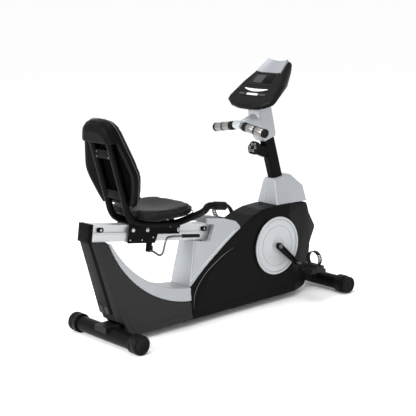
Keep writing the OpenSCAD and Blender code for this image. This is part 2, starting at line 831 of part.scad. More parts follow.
// Radius and sideways stretch of each strap's loop: the left one is let out
function strap_r(s) = s < 0 ? 41 : 46;
function strap_k(s) = s < 0 ? 1 : 1.5;
module pedal_frame(s) {
    o = s < 0 ? pedal_off : -pedal_off;
    bike() translate([crank_x + o[0], 0, crank_z + o[1]]) mirror([0, s < 0 ? 1 : 0, 0]) children();
}

module pedal(s) {
    color([0.05, 0.05, 0.055]) pedal_frame(s) difference() {
        union() {
            pin_y(13, pedal_in - 12, pedal_in + pedal_w + 2);
            for (y = [pedal_in, pedal_in + pedal_w - 9]) translate([-44, y, -30]) cube([96, 9, 31]);
            for (x = [-44, 40], z = [-30, -9]) translate([x, pedal_in + 1, z]) cube([12, pedal_w - 2, 10]);
            for (x = [-24, 22]) translate([x, pedal_in + 1, -5]) cube([10, pedal_w - 2, 6]);
            translate([8, pedal_mid - 42, -9]) cube([34, 84, 9.5]);
        }
        pin_y(6 + fit, pedal_in - 20, pedal_in + pedal_w - 4);
        for (a = [-1, 1]) translate([13.5, pedal_mid + a * (strap_foot + 1) * strap_k(s) - 2.2, -6])
            cube([29, 4.4, 20]);
    }
}
module pedal_right() { pedal(-1); }
module pedal_left() { pedal(1); }

// Strap that loops over the foot, with its ends let into the pedal
module pedal_strap(s) {
    r = strap_r(s);
    k = strap_k(s);
    h = 3.7 + sqrt(r * r - strap_foot * strap_foot);
    a = acos(strap_foot / r);
    color([0.07, 0.07, 0.075]) pedal_frame(s) translate([14, pedal_mid, 0]) rotate([90, 0, 90]) linear_extrude(28) {
        scale([k, 1]) polygon(concat(arc([0, h], r + strap_t, -a, 180 + a, 36), arc([0, h], r, 180 + a, -a, 36)));
        for (m = [-1, 1]) translate([m * (strap_foot + 1) * k - strap_t / 2, -5.5]) square([strap_t, 9.5]);
    }
}
module pedal_strap_right() { pedal_strap(-1); }
module pedal_strap_left() { pedal_strap(1); }

// ---------- seat ----------

plate_in = 44;
plate_t = 5;
carriage_rear = 116;
carriage_step = 296;
carriage_front = 434;
bolt_x = [141, 229, 425];

module seat_carriage() {
    color([0.06, 0.06, 0.065]) on_rail() difference() {
        union() {
            for (s = [-1, 1]) translate([0, s > 0 ? plate_in : -plate_in - plate_t, 0])
                side_plate(0, plate_t) polygon([[carriage_rear, 9], [carriage_front, 9], [carriage_front, -44],
                    [carriage_step, -44], [carriage_step - 12, -88], [carriage_rear, -88]]);
            bar_x(carriage_rear, carriage_front, 2 * plate_in, 4, 9);
            bar_x(carriage_rear + 20, carriage_step - 12.5, 2 * plate_in, -88, -84);
            translate([lock_x, -18, -136]) cylinder(r = 15, h = 50);
            translate([lock_x + 18, -18, -138]) cylinder(r = 7, h = 30);
        }
        for (x = bolt_x) translate([x, 0, roller_z]) pin_y(4, -60, 60);
        translate([lock_x, 0, lever_z]) pin_y(5 + fit, -60, 30);
    }
}

module carriage_bolts() {
    color([0.75, 0.75, 0.77])
    on_rail() for (x = bolt_x, m = [0, 1]) mirror([0, m, 0]) translate([x, 0, roller_z]) {
        pin_y(4, x == bolt_x[1] ? 42 : 30, 49);
        pin_y(8, 49, 53);
    }
}

module roller_pair(x) {
    color([0.15, 0.15, 0.16])
    on_rail() for (m = [0, 1]) mirror([0, m, 0]) translate([x, 0, roller_z]) difference() {
        pin_y(13, 29, 36);
        pin_y(4 + fit, 20, 40);
    }
}
module rollers_front() { roller_pair(bolt_x[2]); }
module rollers_rear() { roller_pair(bolt_x[0]); }

tube_r = 17;
tube_y = 67;
grip_y = 345;

// Path of a seat tube: down behind the backrest, forward under the seat, out and up to the grip
function seat_tube(s) = eased([
    [-6, s * tube_y, 990], [80, s * tube_y, 680], [92, s * tube_y, 625], [124, s * tube_y, 585], [200, s * tube_y, 564],
    [372, s * tube_y, 541], [398, s * 84, 547], [404, s * 150, 576], [396, s * 240, 613], [364, s * 318, 648],
    [350, s * 342, 668], [372, s * grip_y, 671.43], [grip_b[0] - 8, s * grip_y, grip_b[2] + 1.37]
]);
grip_a = [392, grip_y, 668];
grip_b = [462, grip_y, 656];

module seat_frame() {
    color([0.05, 0.05, 0.055]) {
        bike() {
            for (s = [-1, 1]) pipe(seat_tube(s), tube_r, tube_r - 2.5, [0, 1, 0]);
            for (z = [700, 900]) translate([84 - 0.272 * (z - 650), 0, z]) bar_x(-9, -3, 2 * tube_y, 0, 40);
            for (x = [160, 340]) {
                bar_x(x, x + 34, 2 * tube_y, rail_top(x + 17) + 12.5, rail_top(x + 17) + 18.5);
                for (s = [-1, 1]) translate([x, s * tube_y - 3, 548]) cube([34, 6, 46.3]);
            }
        }
    }
}

module seat_grips() {
    color([0.05, 0.05, 0.055]) bike() for (m = [0, 1]) mirror([0, m, 0]) difference() {
        rod(grip_a, grip_b, 20);
        rod(grip_a - [30, 0, -5.14], grip_b - [6, 0, -1.03], tube_r + 0.3);
    }
}

module seat_outline(t) {
    hull() {
        translate([150, 0]) square([20, 2 * (seat_hw - 50 - t)], center = true);
        for (s = [-1, 1]) {
            translate([205, s * (seat_hw - 60)]) circle(60 - t, $fn = 32);
            translate([350, s * (seat_hw - 110)]) circle(110 - t, $fn = 32);
        }
        translate([400, 0]) scale([0.5, 1]) circle(140 - t, $fn = 32);
    }
}

module seat_pan() {
    color([0.07, 0.07, 0.075]) bike() translate([0, 0, 594.5]) linear_extrude(5.7) difference() {
        seat_outline(26);
        translate([100, -150]) square([68, 300]);
    }
}

// Cushion with a full edge and a crowned top
module seat_cushion() {
    color([0.06, 0.06, 0.06]) bike() hull() {
        translate([0, 0, 600.5]) linear_extrude(1) seat_outline(10);
        translate([0, 0, 608]) linear_extrude(20) seat_outline(0);
        translate([0, 0, 599.5 + seat_t]) linear_extrude(1) seat_outline(26);
    }
}

module back_outline(t) {
    hull() for (s = [-1, 1]) {
        translate([s * 50, back_len - 68]) circle(68 - t, $fn = 32);
        translate([s * (back_hw - 80), 178]) circle(80 - t, $fn = 32);
        translate([s * 84, 52]) circle(50 - t, $fn = 32);
    }
}

back_at = [96, 0, 650];
hood_from = 346;
module on_back() { bike() translate(back_at) rotate([0, -back_recline, 0]) rotate([90, 0, 90]) children(); }

// Hood over the tops of the tubes, shrunk by t
module hood_shape(t) {
    hull() {
        intersection() {
            translate([0, 0, -8]) linear_extrude(8) back_outline(3 + t);
            translate([-200, hood_from + t, -8]) cube([400, 200, 8]);
        }
        intersection() {
            translate([0, 0, -44 + t]) linear_extrude(2) back_outline(40 + t);
            translate([-200, hood_from + 4 + t, -44]) cube([400, 200, 30]);
        }
    }
}

// Rear cover: a rimmed board, recessed for the tubes, with a deep hood over their tops
board_z = 10;
board_t = 5;
module back_shell() {
    color([0.05, 0.05, 0.055]) on_back() {
        translate([0, 0, board_z]) linear_extrude(board_t) back_outline(3);
        difference() {
            translate([0, 0, -8]) linear_extrude(board_z + 9) back_outline(3);
            translate([0, 0, -9]) linear_extrude(board_z + 20) back_outline(13);
            translate([-120, -20, -20]) cube([240, 70, 60]);
        }
        difference() {
            hood_shape(0);
            translate([0, -8, 0]) hood_shape(4);
        }
    }
}

module back_cushion() {
    color([0.06, 0.06, 0.06]) on_back() hull() {
        translate([0, 0, board_z + board_t + 0.3]) linear_extrude(12) back_outline(0);
        translate([0, 0, 46]) linear_extrude(2) back_outline(25);
    }
}

lever_path = eased([[lock_x, 0, lever_z], [lock_x, -44, lever_z], [lock_x + 13, -112, -150],
                    [lock_x + 18, -118, -62], [lock_x + 34, -118, -44], [500, -118, -44]]);

module seat_lever() {
    color([0.45, 0.45, 0.47]) on_rail() {
        pipe(lever_path, 5, 2, [1, 0, 0]);
        translate([392, -118, -44]) rotate([0, 90, 0]) difference() {
            cylinder(r = 9, h = 112);
            translate([0, 0, -1]) cylinder(r = 4.6, h = 108);
        }
    }
}

base_beam();
rail_posts();
front_post();
foot_tubes();
rear_foot_caps();
front_foot_caps();
transport_wheel_right();
transport_wheel_left();
seat_rail();
rail_rear_cap();
rail_end_stops();
rear_casing_right();
rear_casing_left();
silver_arch();
silver_panel_right();
silver_panel_left();
front_casing_right();
front_casing_left();
neck_cover();
mast();
inner_mast();
mast_knob();
mast_top_cover();
handlebar();
pulse_plates();
grip_rings();
console_back();
console_front();
console_shelf();
console_screen();
start_key();
left_key();
right_key();
crank_axle();
crank_bearings();
drive_pulley();
drive_belt();
crank_arm_right();
crank_arm_left();
crank_covers();
pedal_right();
pedal_left();
pedal_strap_right();
pedal_strap_left();
flywheel();
flywheel_bracket();
idler_pulley();
brake_shoe();
brake_motor();
seat_carriage();
carriage_bolts();
rollers_front();
rollers_rear();
seat_frame();
seat_pan();
seat_cushion();
back_shell();
back_cushion();
seat_grips();
seat_lever();
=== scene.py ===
from math import acos, cos, degrees, pi, radians, sin, sqrt, tan

import bmesh
import bpy
import numpy as np
from mathutils import Matrix, Vector


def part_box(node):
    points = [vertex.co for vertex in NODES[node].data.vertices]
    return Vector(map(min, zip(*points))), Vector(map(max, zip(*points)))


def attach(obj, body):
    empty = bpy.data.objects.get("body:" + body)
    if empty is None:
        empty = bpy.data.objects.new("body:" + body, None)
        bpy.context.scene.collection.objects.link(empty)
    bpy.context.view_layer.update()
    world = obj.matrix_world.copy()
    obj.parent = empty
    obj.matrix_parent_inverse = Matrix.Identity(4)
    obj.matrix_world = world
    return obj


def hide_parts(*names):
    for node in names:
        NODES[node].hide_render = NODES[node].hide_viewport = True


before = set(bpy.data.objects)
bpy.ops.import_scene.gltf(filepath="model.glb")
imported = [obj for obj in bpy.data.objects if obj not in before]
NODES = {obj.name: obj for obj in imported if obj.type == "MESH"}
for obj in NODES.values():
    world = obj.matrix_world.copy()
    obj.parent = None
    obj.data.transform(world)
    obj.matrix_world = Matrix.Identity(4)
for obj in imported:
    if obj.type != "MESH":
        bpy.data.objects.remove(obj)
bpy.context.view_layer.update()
scene = bpy.context.scene

# Everything below is drawn in millimetres, x forwards from the rear foot tube's axis
MM = 0.001
FOOT_R = 48
X0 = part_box("rear_foot_caps")[0].x + FOOT_R * MM

# Driving dimensions, as in the CAD
FRONT_FOOT_X = 1455
RAIL_Z, RAIL_TILT, RAIL_DEEP = 587, 8.7, 80
SLOT_Z = -23.5
MAST_X, MAST_Z, MAST_TILT = 1176, 545, 16
CRANK = (1059, 313)
ARM_LENGTH = 172
ARM_REST = radians(41)
SEAT_TUBE_Y = 67
BAR_HUB, BAR_END = Vector((878, 0, 970)), Vector((888, 190, 940))
SIDES = (("right", -1), ("left", 1))


# ---------- frames ----------

def turn(axis, angle):
    return Matrix.Rotation(radians(angle), 4, axis)


def move(x, y, z):
    return Matrix.Translation((x, y, z))


WORLD = Matrix.Identity(4)
RAIL = move(0, 0, RAIL_Z) @ turn("Y", RAIL_TILT)
MAST = move(MAST_X, 0, MAST_Z) @ turn("Y", -MAST_TILT)
CONSOLE = move(1036, 0, 1172) @ turn("Y", -40)
BACK = move(96, 0, 650) @ turn("Y", -14.7) @ turn("Z", 90) @ turn("X", 90)
KNOB = move(1003, 0, 831) @ turn("Y", -70)


def axis_y(x, y, z, side=1):
    """A frame whose z points across the bike: to its left for side 1, to its right for -1."""
    return move(x, y, z) @ turn("X", -90 * side)


def rail_side(x, z, side):
    """A frame inside the rail whose z points out through its left (1) or right (-1) wall."""
    return RAIL @ move(x, 0, z) @ turn("X", -90 * side)


def aimed(start, along):
    """A frame at start whose z points along a vector."""
    return Matrix.Translation(start) @ along.to_track_quat("Z", "Y").to_matrix().to_4x4()


# ---------- materials ----------

LOOK = {}


def node(tree, kind, **inputs):
    """A shader node with some of its inputs set."""
    made = tree.nodes.new("ShaderNode" + kind)
    for key, value in inputs.items():
        made.inputs[key.replace("_", " ")].default_value = value
    return made


def surface(name, colour, rough, metal=0.0, grain=600.0, bump=0.12, depth=0.0004, vary=0.10, spread=0.06,
            stretch=(1, 1, 1), cells=False, specular=0.5, coat=0.0, sheen=0.0):
    """A procedural finish: a fine grain for bump and roughness, and slow patches in the colour."""
    m = bpy.data.materials.new(name)
    m.use_nodes = True
    nt = m.node_tree
    link = nt.links.new
    sh = nt.nodes["Principled BSDF"].inputs
    for key, value in {"Metallic": metal, "Specular IOR Level": specular, "Coat Weight": coat,
                       "Coat Roughness": 0.25, "Sheen Weight": sheen}.items():
        sh[key].default_value = value
    where = node(nt, "TexCoord").outputs["Object"]
    mapping = node(nt, "Mapping", Scale=stretch)
    link(where, mapping.inputs["Vector"])
    fine = node(nt, "TexVoronoi" if cells else "TexNoise", Scale=grain)
    link(mapping.outputs["Vector"], fine.inputs["Vector"])
    fine_out = fine.outputs["Distance" if cells else "Fac"]
    slow = node(nt, "TexNoise", Scale=9.0, Detail=4.0)
    link(where, slow.inputs["Vector"])
    scaled = node(nt, "Math")
    scaled.operation = "MULTIPLY"
    scaled.inputs[1].default_value = 0.65
    link(slow.outputs["Fac"], scaled.inputs[0])
    blend = node(nt, "Math")
    blend.operation = "MULTIPLY_ADD"
    blend.inputs[1].default_value = 0.35
    link(fine_out, blend.inputs[0])
    link(scaled.outputs[0], blend.inputs[2])
    ramp = node(nt, "ValToRGB")
    for stop, position, light in zip(ramp.color_ramp.elements, (0.3, 0.7), (1 - vary, 1 + vary)):
        stop.position = position
        stop.color = [c * light for c in colour] + [1]
    link(blend.outputs[0], ramp.inputs["Fac"])
    link(ramp.outputs["Color"], sh["Base Color"])
    gloss = node(nt, "MapRange", To_Min=rough - spread, To_Max=rough + spread)
    link(blend.outputs[0], gloss.inputs["Value"])
    link(gloss.outputs["Result"], sh["Roughness"])
    dents = node(nt, "Bump", Strength=bump, Distance=depth)
    link(fine_out, dents.inputs["Height"])
    link(dents.outputs["Normal"], sh["Normal"])
    LOOK[name] = m
    return m


surface("frame_black", (0.0035, 0.0035, 0.0038), 0.34, grain=900, bump=0.22, specular=0.045)
surface("frame_grey", (0.008, 0.008, 0.009), 0.45, grain=900, bump=0.25, specular=0.1)
surface("shell_black", (0.0035, 0.0035, 0.0037), 0.38, grain=800, bump=0.28, specular=0.03)
# Near-black and matte: painted shade for the floor of the backrest's dish
surface("recess_shade_black", (0.0012, 0.0012, 0.0013), 0.8, grain=600, bump=0.3, specular=0.01)
# A lighter silver for thin strips along edges: painted highlights
surface("painted_highlight_silver", (0.70, 0.715, 0.735), 0.30, metal=0.1, grain=1500, bump=0.03, vary=0.03)
surface("rest_silver", (0.21, 0.222, 0.24), 0.36, metal=0.2, grain=1500, bump=0.05, vary=0.05)
# Mid grey for the screen's frame, and for the line along the front casing's rib that is a painted highlight
surface("bezel_grey_and_rib_highlight", (0.085, 0.085, 0.088), 0.40, grain=900, bump=0.10)
surface("rail_aluminium", (0.50, 0.515, 0.53), 0.34, metal=0.45, grain=700, bump=0.06, stretch=(0.04, 1, 1),
        vary=0.05)
surface("silver_plastic", (0.345, 0.36, 0.38), 0.38, metal=0.2, grain=1500, bump=0.05, vary=0.08, coat=0.12)
surface("casing_black", (0.0035, 0.0035, 0.0038), 0.42, grain=1100, bump=0.28, specular=0.05)
surface("casing_grey", (0.0125, 0.0125, 0.0132), 0.46, grain=1100, bump=0.30, specular=0.2)
surface("trim_black", (0.0040, 0.0040, 0.0043), 0.44, grain=800, bump=0.32, specular=0.07)
surface("disc_silver", (0.46, 0.475, 0.495), 0.36, metal=0.2, grain=1500, bump=0.05, vary=0.04, coat=0.12)
surface("bar_silver", (0.46, 0.475, 0.49), 0.30, metal=0.7, grain=1200, bump=0.05, vary=0.05)
surface("sensor_steel", (0.235, 0.232, 0.228), 0.38, metal=0.9, grain=600, bump=0.10, stretch=(1, 0.05, 1), vary=0.10)
surface("bolt_steel", (0.52, 0.52, 0.54), 0.28, metal=1.0, grain=900, bump=0.08)
surface("drive_steel", (0.13, 0.13, 0.135), 0.36, metal=1.0, grain=500, bump=0.10)
surface("iron", (0.20, 0.20, 0.205), 0.50, metal=1.0, grain=300, bump=0.25)
surface("rubber_black", (0.0045, 0.0045, 0.0045), 0.56, grain=700, bump=0.38, specular=0.1)
surface("roller_nylon", (0.03, 0.03, 0.032), 0.40, grain=500, bump=0.10)
surface("screen", (0.0028, 0.003, 0.0035), 0.14, grain=200, bump=0.01, spread=0.02, vary=0.03, specular=0.06)
surface("screen_grey", (0.022, 0.023, 0.025), 0.30, grain=500, bump=0.02, vary=0.05, specular=0.3)
# Pale grey for the start key and the light strip, and for the painted highlights on the knob's pocket rims
surface("key_light", (0.50, 0.50, 0.51), 0.40, grain=900, bump=0.08, vary=0.04)
surface("key_grey", (0.022, 0.022, 0.024), 0.42, grain=900, bump=0.10, specular=0.3)
surface("vinyl_black", (0.010, 0.010, 0.0105), 0.36, grain=520, bump=0.42, depth=0.0005, cells=True, specular=0.035,
        vary=0.2, spread=0.08)
surface("felt", (0.30, 0.22, 0.10), 0.92, grain=1400, bump=0.7, depth=0.001, specular=0.1, sheen=0.4)
surface("pedal_black", (0.0045, 0.0045, 0.0048), 0.48, grain=700, bump=0.35, specular=0.16)
# A grey lighter than the vinyl for the back welt: a painted highlight along the cushion's rim
surface("welt_grey_and_highlight", (0.035, 0.035, 0.037), 0.35, grain=900, bump=0.15, specular=0.4)

NODE_LOOK = {
    "frame_black": "foot_tubes mast seat_frame seat_pan seat_carriage crank_arm_right crank_arm_left brake_motor",
    "frame_grey": "base_beam rail_posts front_post flywheel_bracket",
    "rail_aluminium": "seat_rail",
    "silver_plastic": "silver_arch silver_panel_right silver_panel_left neck_cover mast_top_cover console_shelf",
    "casing_black": "rear_casing_right rear_casing_left front_casing_right front_casing_left",
    "trim_black": "rail_rear_cap rail_end_stops console_back console_front back_shell mast_knob drive_pulley "
                  "drive_belt rear_foot_caps front_foot_caps",
    "disc_silver": "crank_covers",
    "bar_silver": "handlebar inner_mast",
    "sensor_steel": "pulse_plates",
    "bolt_steel": "carriage_bolts seat_lever",
    "drive_steel": "crank_axle crank_bearings",
    "iron": "flywheel",
    "rubber_black": "transport_wheel_right transport_wheel_left grip_rings seat_grips pedal_strap_right "
                    "pedal_strap_left",
    "roller_nylon": "rollers_front rollers_rear idler_pulley",
    "screen": "console_screen",
    "key_light": "start_key",
    "key_grey": "left_key right_key",
    "vinyl_black": "seat_cushion back_cushion",
    "felt": "brake_shoe",
    "pedal_black": "pedal_right pedal_left",
}
for look, names in NODE_LOOK.items():
    for n in names.split():
        for s in NODES[n].material_slots:
            s.material = LOOK[look]


# ---------- mesh tools ----------

def added(name, data):
    """A new object in the scene."""
    o = bpy.data.objects.new(name, data)
    scene.collection.objects.link(o)
    return o


def new(name, verts, faces, at=WORLD):
    """A mesh object from points in millimetres, in one of the frames above."""
    me = bpy.data.meshes.new(name)
    me.from_pydata([at @ Vector(v) for v in verts], [], faces)
    bm = bmesh.new()
    bm.from_mesh(me)
    bmesh.ops.recalc_face_normals(bm, faces=bm.faces)
    bm.to_mesh(me)
    bm.free()
    return added(name, me)


def prism(verts, at):
    """A solid between two outlines of equal length, listed one after the other."""
    n = len(verts) // 2
    faces = [list(range(n)), list(range(2 * n - 1, n - 1, -1))]
    faces += [[i, (i + 1) % n, n + (i + 1) % n, n + i] for i in range(n)]
    return new("prism", verts, faces, at)


def plate(outline, y0, y1, at=WORLD):
    """An outline in x and z, as thick as from y0 to y1."""
    return prism([(x, y, z) for y in (y0, y1) for x, z in outline], at)


def slab(outline, z0, z1, at=WORLD):
    """An outline in x and y, as thick as from z0 to z1."""
    return prism([(x, y, z) for z in (z0, z1) for x, y in outline], at)


def loft(rings, at=WORLD):
    """A closed solid through rings of equal length."""
    n = len(rings[0])
    verts = [p for r in rings for p in r]
    faces = [list(range(n)), list(range(len(verts) - 1, len(verts) - n - 1, -1))]
    for k in range(len(rings) - 1):
        faces += [[k * n + i, k * n + (i + 1) % n, (k + 1) * n + (i + 1) % n, (k + 1) * n + i] for i in range(n)]
    return new("loft", verts, faces, at)


def hull(corners, at=WORLD):
    """The convex solid around some points."""
    me = bpy.data.meshes.new("hull")
    bm = bmesh.new()
    for p in corners:
        bm.verts.new(at @ Vector(p))
    made = bmesh.ops.convex_hull(bm, input=bm.verts)
    inner = [g for g in made["geom_interior"] if isinstance(g, bmesh.types.BMVert)]
    bmesh.ops.delete(bm, geom=inner, context="VERTS")
    bm.to_mesh(me)
    bm.free()
    return added("hull", me)


def box(x0, x1, y0, y1, z0, z1, at=WORLD):
    return plate([(x0, z0), (x1, z0), (x1, z1), (x0, z1)], y0, y1, at)


def lathe(profile, at=WORLD, n=72):
    """A solid of revolution about z from (radius, z) points."""
    rings = [[(r * cos(2 * pi * k / n), r * sin(2 * pi * k / n), z) for k in range(n)]
             for r, z in profile]
    return loft(rings, at)


def bake(o):
    """Applies the modifiers."""
    me = bpy.data.meshes.new_from_object(o.evaluated_get(bpy.context.evaluated_depsgraph_get()))
    o.modifiers.clear()
    o.data = me
    return o


def modified(o, kind, **settings):
    """Applies one modifier."""
    m = o.modifiers.new("m", kind)
    for key, value in settings.items():
        setattr(m, key, value)
    return bake(o)


def boolean(o, other, operation):
    """Combines o with another solid, which is used up."""
    modified(o, "BOOLEAN", operation=operation, solver="EXACT", object=other)
    bpy.data.objects.remove(other)
    return o


def both(a, b):
    return boolean(a, b, "INTERSECT")


def cut(a, *tools):
    for t in tools:
        boolean(a, t, "DIFFERENCE")
    return a


def join(parts):
    with bpy.context.temp_override(active_object=parts[0], selected_objects=parts, selected_editable_objects=parts):
        bpy.ops.object.join()
    return parts[0]


def remesh(o, voxel, passes=4, factor=0.5):
    """Rebuilds the surface at an even grain and rounds its edges."""
    m = o.modifiers.new("r", "REMESH")
    m.mode = "VOXEL"
    m.voxel_size = voxel
    if passes:
        s = o.modifiers.new("s", "SMOOTH")
        s.factor = factor
        s.iterations = passes
    return bake(o)


def bevel(o, width, segments=3, angle=35):
    return modified(o, "BEVEL", width=width, segments=segments, limit_method="ANGLE", angle_limit=radians(angle))


def place(o, at):
    """Moves a mesh that was drawn at the origin into a frame."""
    o.data.transform(at)
    return o


def points(o):
    """The mesh's points as rows of x, y, z."""
    co = np.zeros(len(o.data.vertices) * 3)
    o.data.vertices.foreach_get("co", co)
    return co.reshape(-1, 3)


def normals(o):
    no = np.zeros(len(o.data.vertices) * 3, np.float32)
    o.data.vertex_normals.foreach_get("vector", no)
    return no.reshape(-1, 3).astype(float)


def put(o, co):
    """Gives the mesh new points."""
    o.data.vertices.foreach_set("co", co.ravel())
    o.data.update()
    return o


def local(o, at):
    """The points in the frame `at`, in which they were drawn."""
    back = np.array(at.inverted())
    return points(o) @ back[:3, :3].T + back[:3, 3]


def relief(o, shift):
    """Moves every point along its normal by shift millimetres."""
    return put(o, points(o) + normals(o) * np.asarray(shift)[:, None])


def away(p, line):
    """Distance of the points p from a polyline, in two dimensions."""
    best = np.full(len(p), 1e9)
    for a, b in zip(line[:-1], line[1:]):
        a, d = np.array(a, float), np.array(b, float) - np.array(a, float)
        t = np.clip(((p - a) @ d) / (d @ d), 0, 1)
        best = np.minimum(best, np.linalg.norm(p - a - t[:, None] * d, axis=1))
    return best


def from_loop(p, outline):
    """Distance of the points p from a closed outline in x and y."""
    return away(p[:, :2], outline + outline[:1])


def step(x, a, b):
    """0 up to a, 1 from b, and smooth between."""
    t = np.clip((x - a) / (b - a), 0, 1)
    return t * t * (3 - 2 * t)


def near(x, width):
    """1 where x is 0, falling off smoothly on both sides over about width."""
    return np.exp(-(x / width) ** 2)


def sideways(out):
    """1 where a surface faces the bike's left or right, 0 where it doesn't."""
    return step(np.abs(out[:, 1]), 0.5, 0.8)


def voxel(full, quick):
    return full


def eased(path, times=3):
    """The open path again with its corners cut, ends kept."""
    for _ in range(times):
        path = ([path[0]] + [tuple(np.array(a) + (np.array(b) - np.array(a)) * k)
                             for a, b in zip(path[:-1], path[1:]) for k in (0.25, 0.75)] + [path[-1]])
    return path


def tube(path, r, at=WORLD, n=20, closed=False, flat=1.0, up=(0, 1, 0)):
    """A round or flattened tube along a path. r may hold one radius for each point."""
    p = [Vector(q) for q in path]
    m = len(p)
    radii = r if isinstance(r, (list, tuple)) else [r] * m
    rings, u = [], Vector(up)
    for i in range(m):
        ahead = p[(i + 1) % m if closed else min(i + 1, m - 1)]
        behind = p[(i - 1) % m if closed else max(i - 1, 0)]
        t = (ahead - behind).normalized()
        u = (u - u.dot(t) * t).normalized()
        v = t.cross(u)
        rings.append([p[i] + radii[i] * (cos(a) * u + flat * sin(a) * v)
                      for a in (2 * pi * k / n for k in range(n))])
    if not closed:
        return loft(rings, at)
    verts = [q for ring in rings for q in ring]
    faces = [[i * n + k, i * n + (k + 1) % n, ((i + 1) % m) * n + (k + 1) % n, ((i + 1) % m) * n + k]
             for i in range(m) for k in range(n)]
    return new("loop", verts, faces, at)


def bead(outline, z, r, at=WORLD, n=10):
    """A closed round tube that follows an outline in x and y."""
    return tube([(x, y, z) for x, y in outline], r, at, n=n, closed=True, up=(0, 0, 1))


def stack(outline, levels):
    """A solid through an outline's insets, each at its own height."""
    return loft([[(x, y, z) for x, y in outline(inward)] for inward, z in levels])


def piece(o, name, look, body, *stands_for, smooth=40, slot=None):
    """Finishes a piece: metres, shading, material, body and the nodes it stands for. slot is not used."""
    o.name = o.data.name = name
    o.data.transform(Matrix.Translation((X0, 0, 0)) @ Matrix.Scale(MM, 4))
    o.data.shade_smooth()
    o.data.set_sharp_from_angle(angle=radians(smooth))
    o.data.materials.clear()
    o.data.materials.append(LOOK[look])
    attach(o, body)
    if stands_for:
        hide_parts(*stands_for)
    return o


def arc(c, r, a0, a1, n):
    """n + 1 points of a circle about c, from angle a0 to a1 in degrees."""
    return [(c[0] + r * cos(radians(a0 + (a1 - a0) * i / n)),
             c[1] + r * sin(radians(a0 + (a1 - a0) * i / n))) for i in range(n + 1)]


def rail_top(x):
    return RAIL_Z - x * tan(radians(RAIL_TILT))


def rail_bottom(x):
    return rail_top(x) - RAIL_DEEP / cos(radians(RAIL_TILT))


def mirrored(half):
    """The points of the left half and their mirror images."""
    return [(x, s * y, z) for x, y, z in half for s in (-1, 1)]


# ---------- casings ----------

# The lines where two covers meet, from the side, and the solids that the covers are cut from
WIDE = 100
LOW_ARC = arc((510, 679), 553, 199.6, 265.2, 40)
HIGH_ARC = arc((493, 750), 552, 207.5, 266.8, 40)
PANEL_ARC = arc((1539, -885), 1526, 134.9, 119, 30)
REAR_SHAPE = mirrored([(-124, 34, 545), (-96, 46, 545), (-2, 40, 100), (50, 74, 100), (20, 40, 28), (70, 80, 28),
                       (470, 90, 28), (470, 68, 300), (470, 54, 545)])
FRONT_SHAPE = mirrored([(460, 90, 28), (460, 74, 190), (520, 58, 520), (640, 90, 330), (840, 90, 470), (640, 66, 540),
                        (1160, 90, 470), (1180, 76, 540), (1200, 90, 28), (1322, 46, 28), (1376, 38, 230),
                        (1352, 44, 510), (1438, 14, 352), (1438, 14, 338)])
NECK_SHAPE = mirrored([(1082, 74, 525), (1326, 58, 514), (1098, 44, 650), (1098, 34, 662), (1222, 34, 672),
                       (1308, 46, 600)])
RIB = eased([(752, 358), (690, 338), (620, 300), (560, 258), (510, 205), (480, 150), (474, 84)])


def even_path(path, n):
    """n points at equal steps along an open path."""
    q = np.array(path, float)
    s = np.concatenate([[0], np.cumsum(np.hypot(*np.diff(q, axis=0).T))])
    t = np.linspace(0, s[-1], n)
    return list(zip(np.interp(t, s, q[:, 0]).tolist(), np.interp(t, s, q[:, 1]).tolist()))


def skin(outline, shape):
    """The part of a cover's solid that lies inside a side-view outline."""
    return both(plate(outline, -WIDE, WIDE), hull(shape))


def centre_seam(p, side):
    """Depth of the groove where a cover's two halves meet."""
    return -1.6 * near(p[:, 1], 3.5) * (1 - side)


def rear_cover():
    """The rear casing with its skirt, and a crease along the spine."""
    outline = ([(466, 30), (466, 126)] + LOW_ARC[::-1]
               + [(-20, rail_bottom(-20) - 1), (-118, rail_bottom(-118) - 1), (-12, 146), (6, 136)]
               + arc((0, 48), 64, 75, 8, 8) + [(66, 30)])
    o = skin(outline, REAR_SHAPE)
    cut(o, box(-60, 80, -62, 62, 20, 96))
    remesh(o, voxel(4, 7))
    p, out = points(o), normals(o)
    side = sideways(out)
    skirt = away(p[:, [0, 2]], [(70, 62), (466, 74)])
    crease = away(p[:, [0, 2]], [(-84, 500), (40, 150), (96, 44)])
    shift = -2.0 * near(skirt, 5) - 2.0 * near(crease, 6)
    shift += 2.5 * step(p[:, 2] - 74 + 0.03 * (466 - p[:, 0]), 10, -6)
    relief(o, shift * side + centre_seam(p, side))
    return piece(o, "rear_cover", "casing_grey", "frame", "rear_casing_right", "rear_casing_left",
                 slot="casing_black")


def rear_spine():
    """The dark strip down the rear of the casing."""
    top, low = rail_bottom(-118) - 1.4, rail_bottom(-100) - 1.4
    outline = [(-119, top), (-106, low), (-1, 150), (-13, 150)]
    shape = [(x - 0.9 if x < 100 else x, y * 1.014, z) for x, y, z in REAR_SHAPE]
    return piece(bevel(skin(outline, shape), 1.2, 2), "rear_spine", "casing_black", "frame")


def arch_cover():
    """The silver arch between the rear casing and the step-through."""
    outline = ([(x + 0.2, z + 0.3) for x, z in LOW_ARC] + [(465.9, 128.6), (465.9, 195.4), (461.2, 195.4)]
               + [(min(x, 461.2), z) for x, z in HIGH_ARC[::-1]])
    o = skin(outline, REAR_SHAPE)
    remesh(o, voxel(3, 6), 3)
    return piece(o, "arch_cover", "silver_plastic", "frame", "silver_arch")


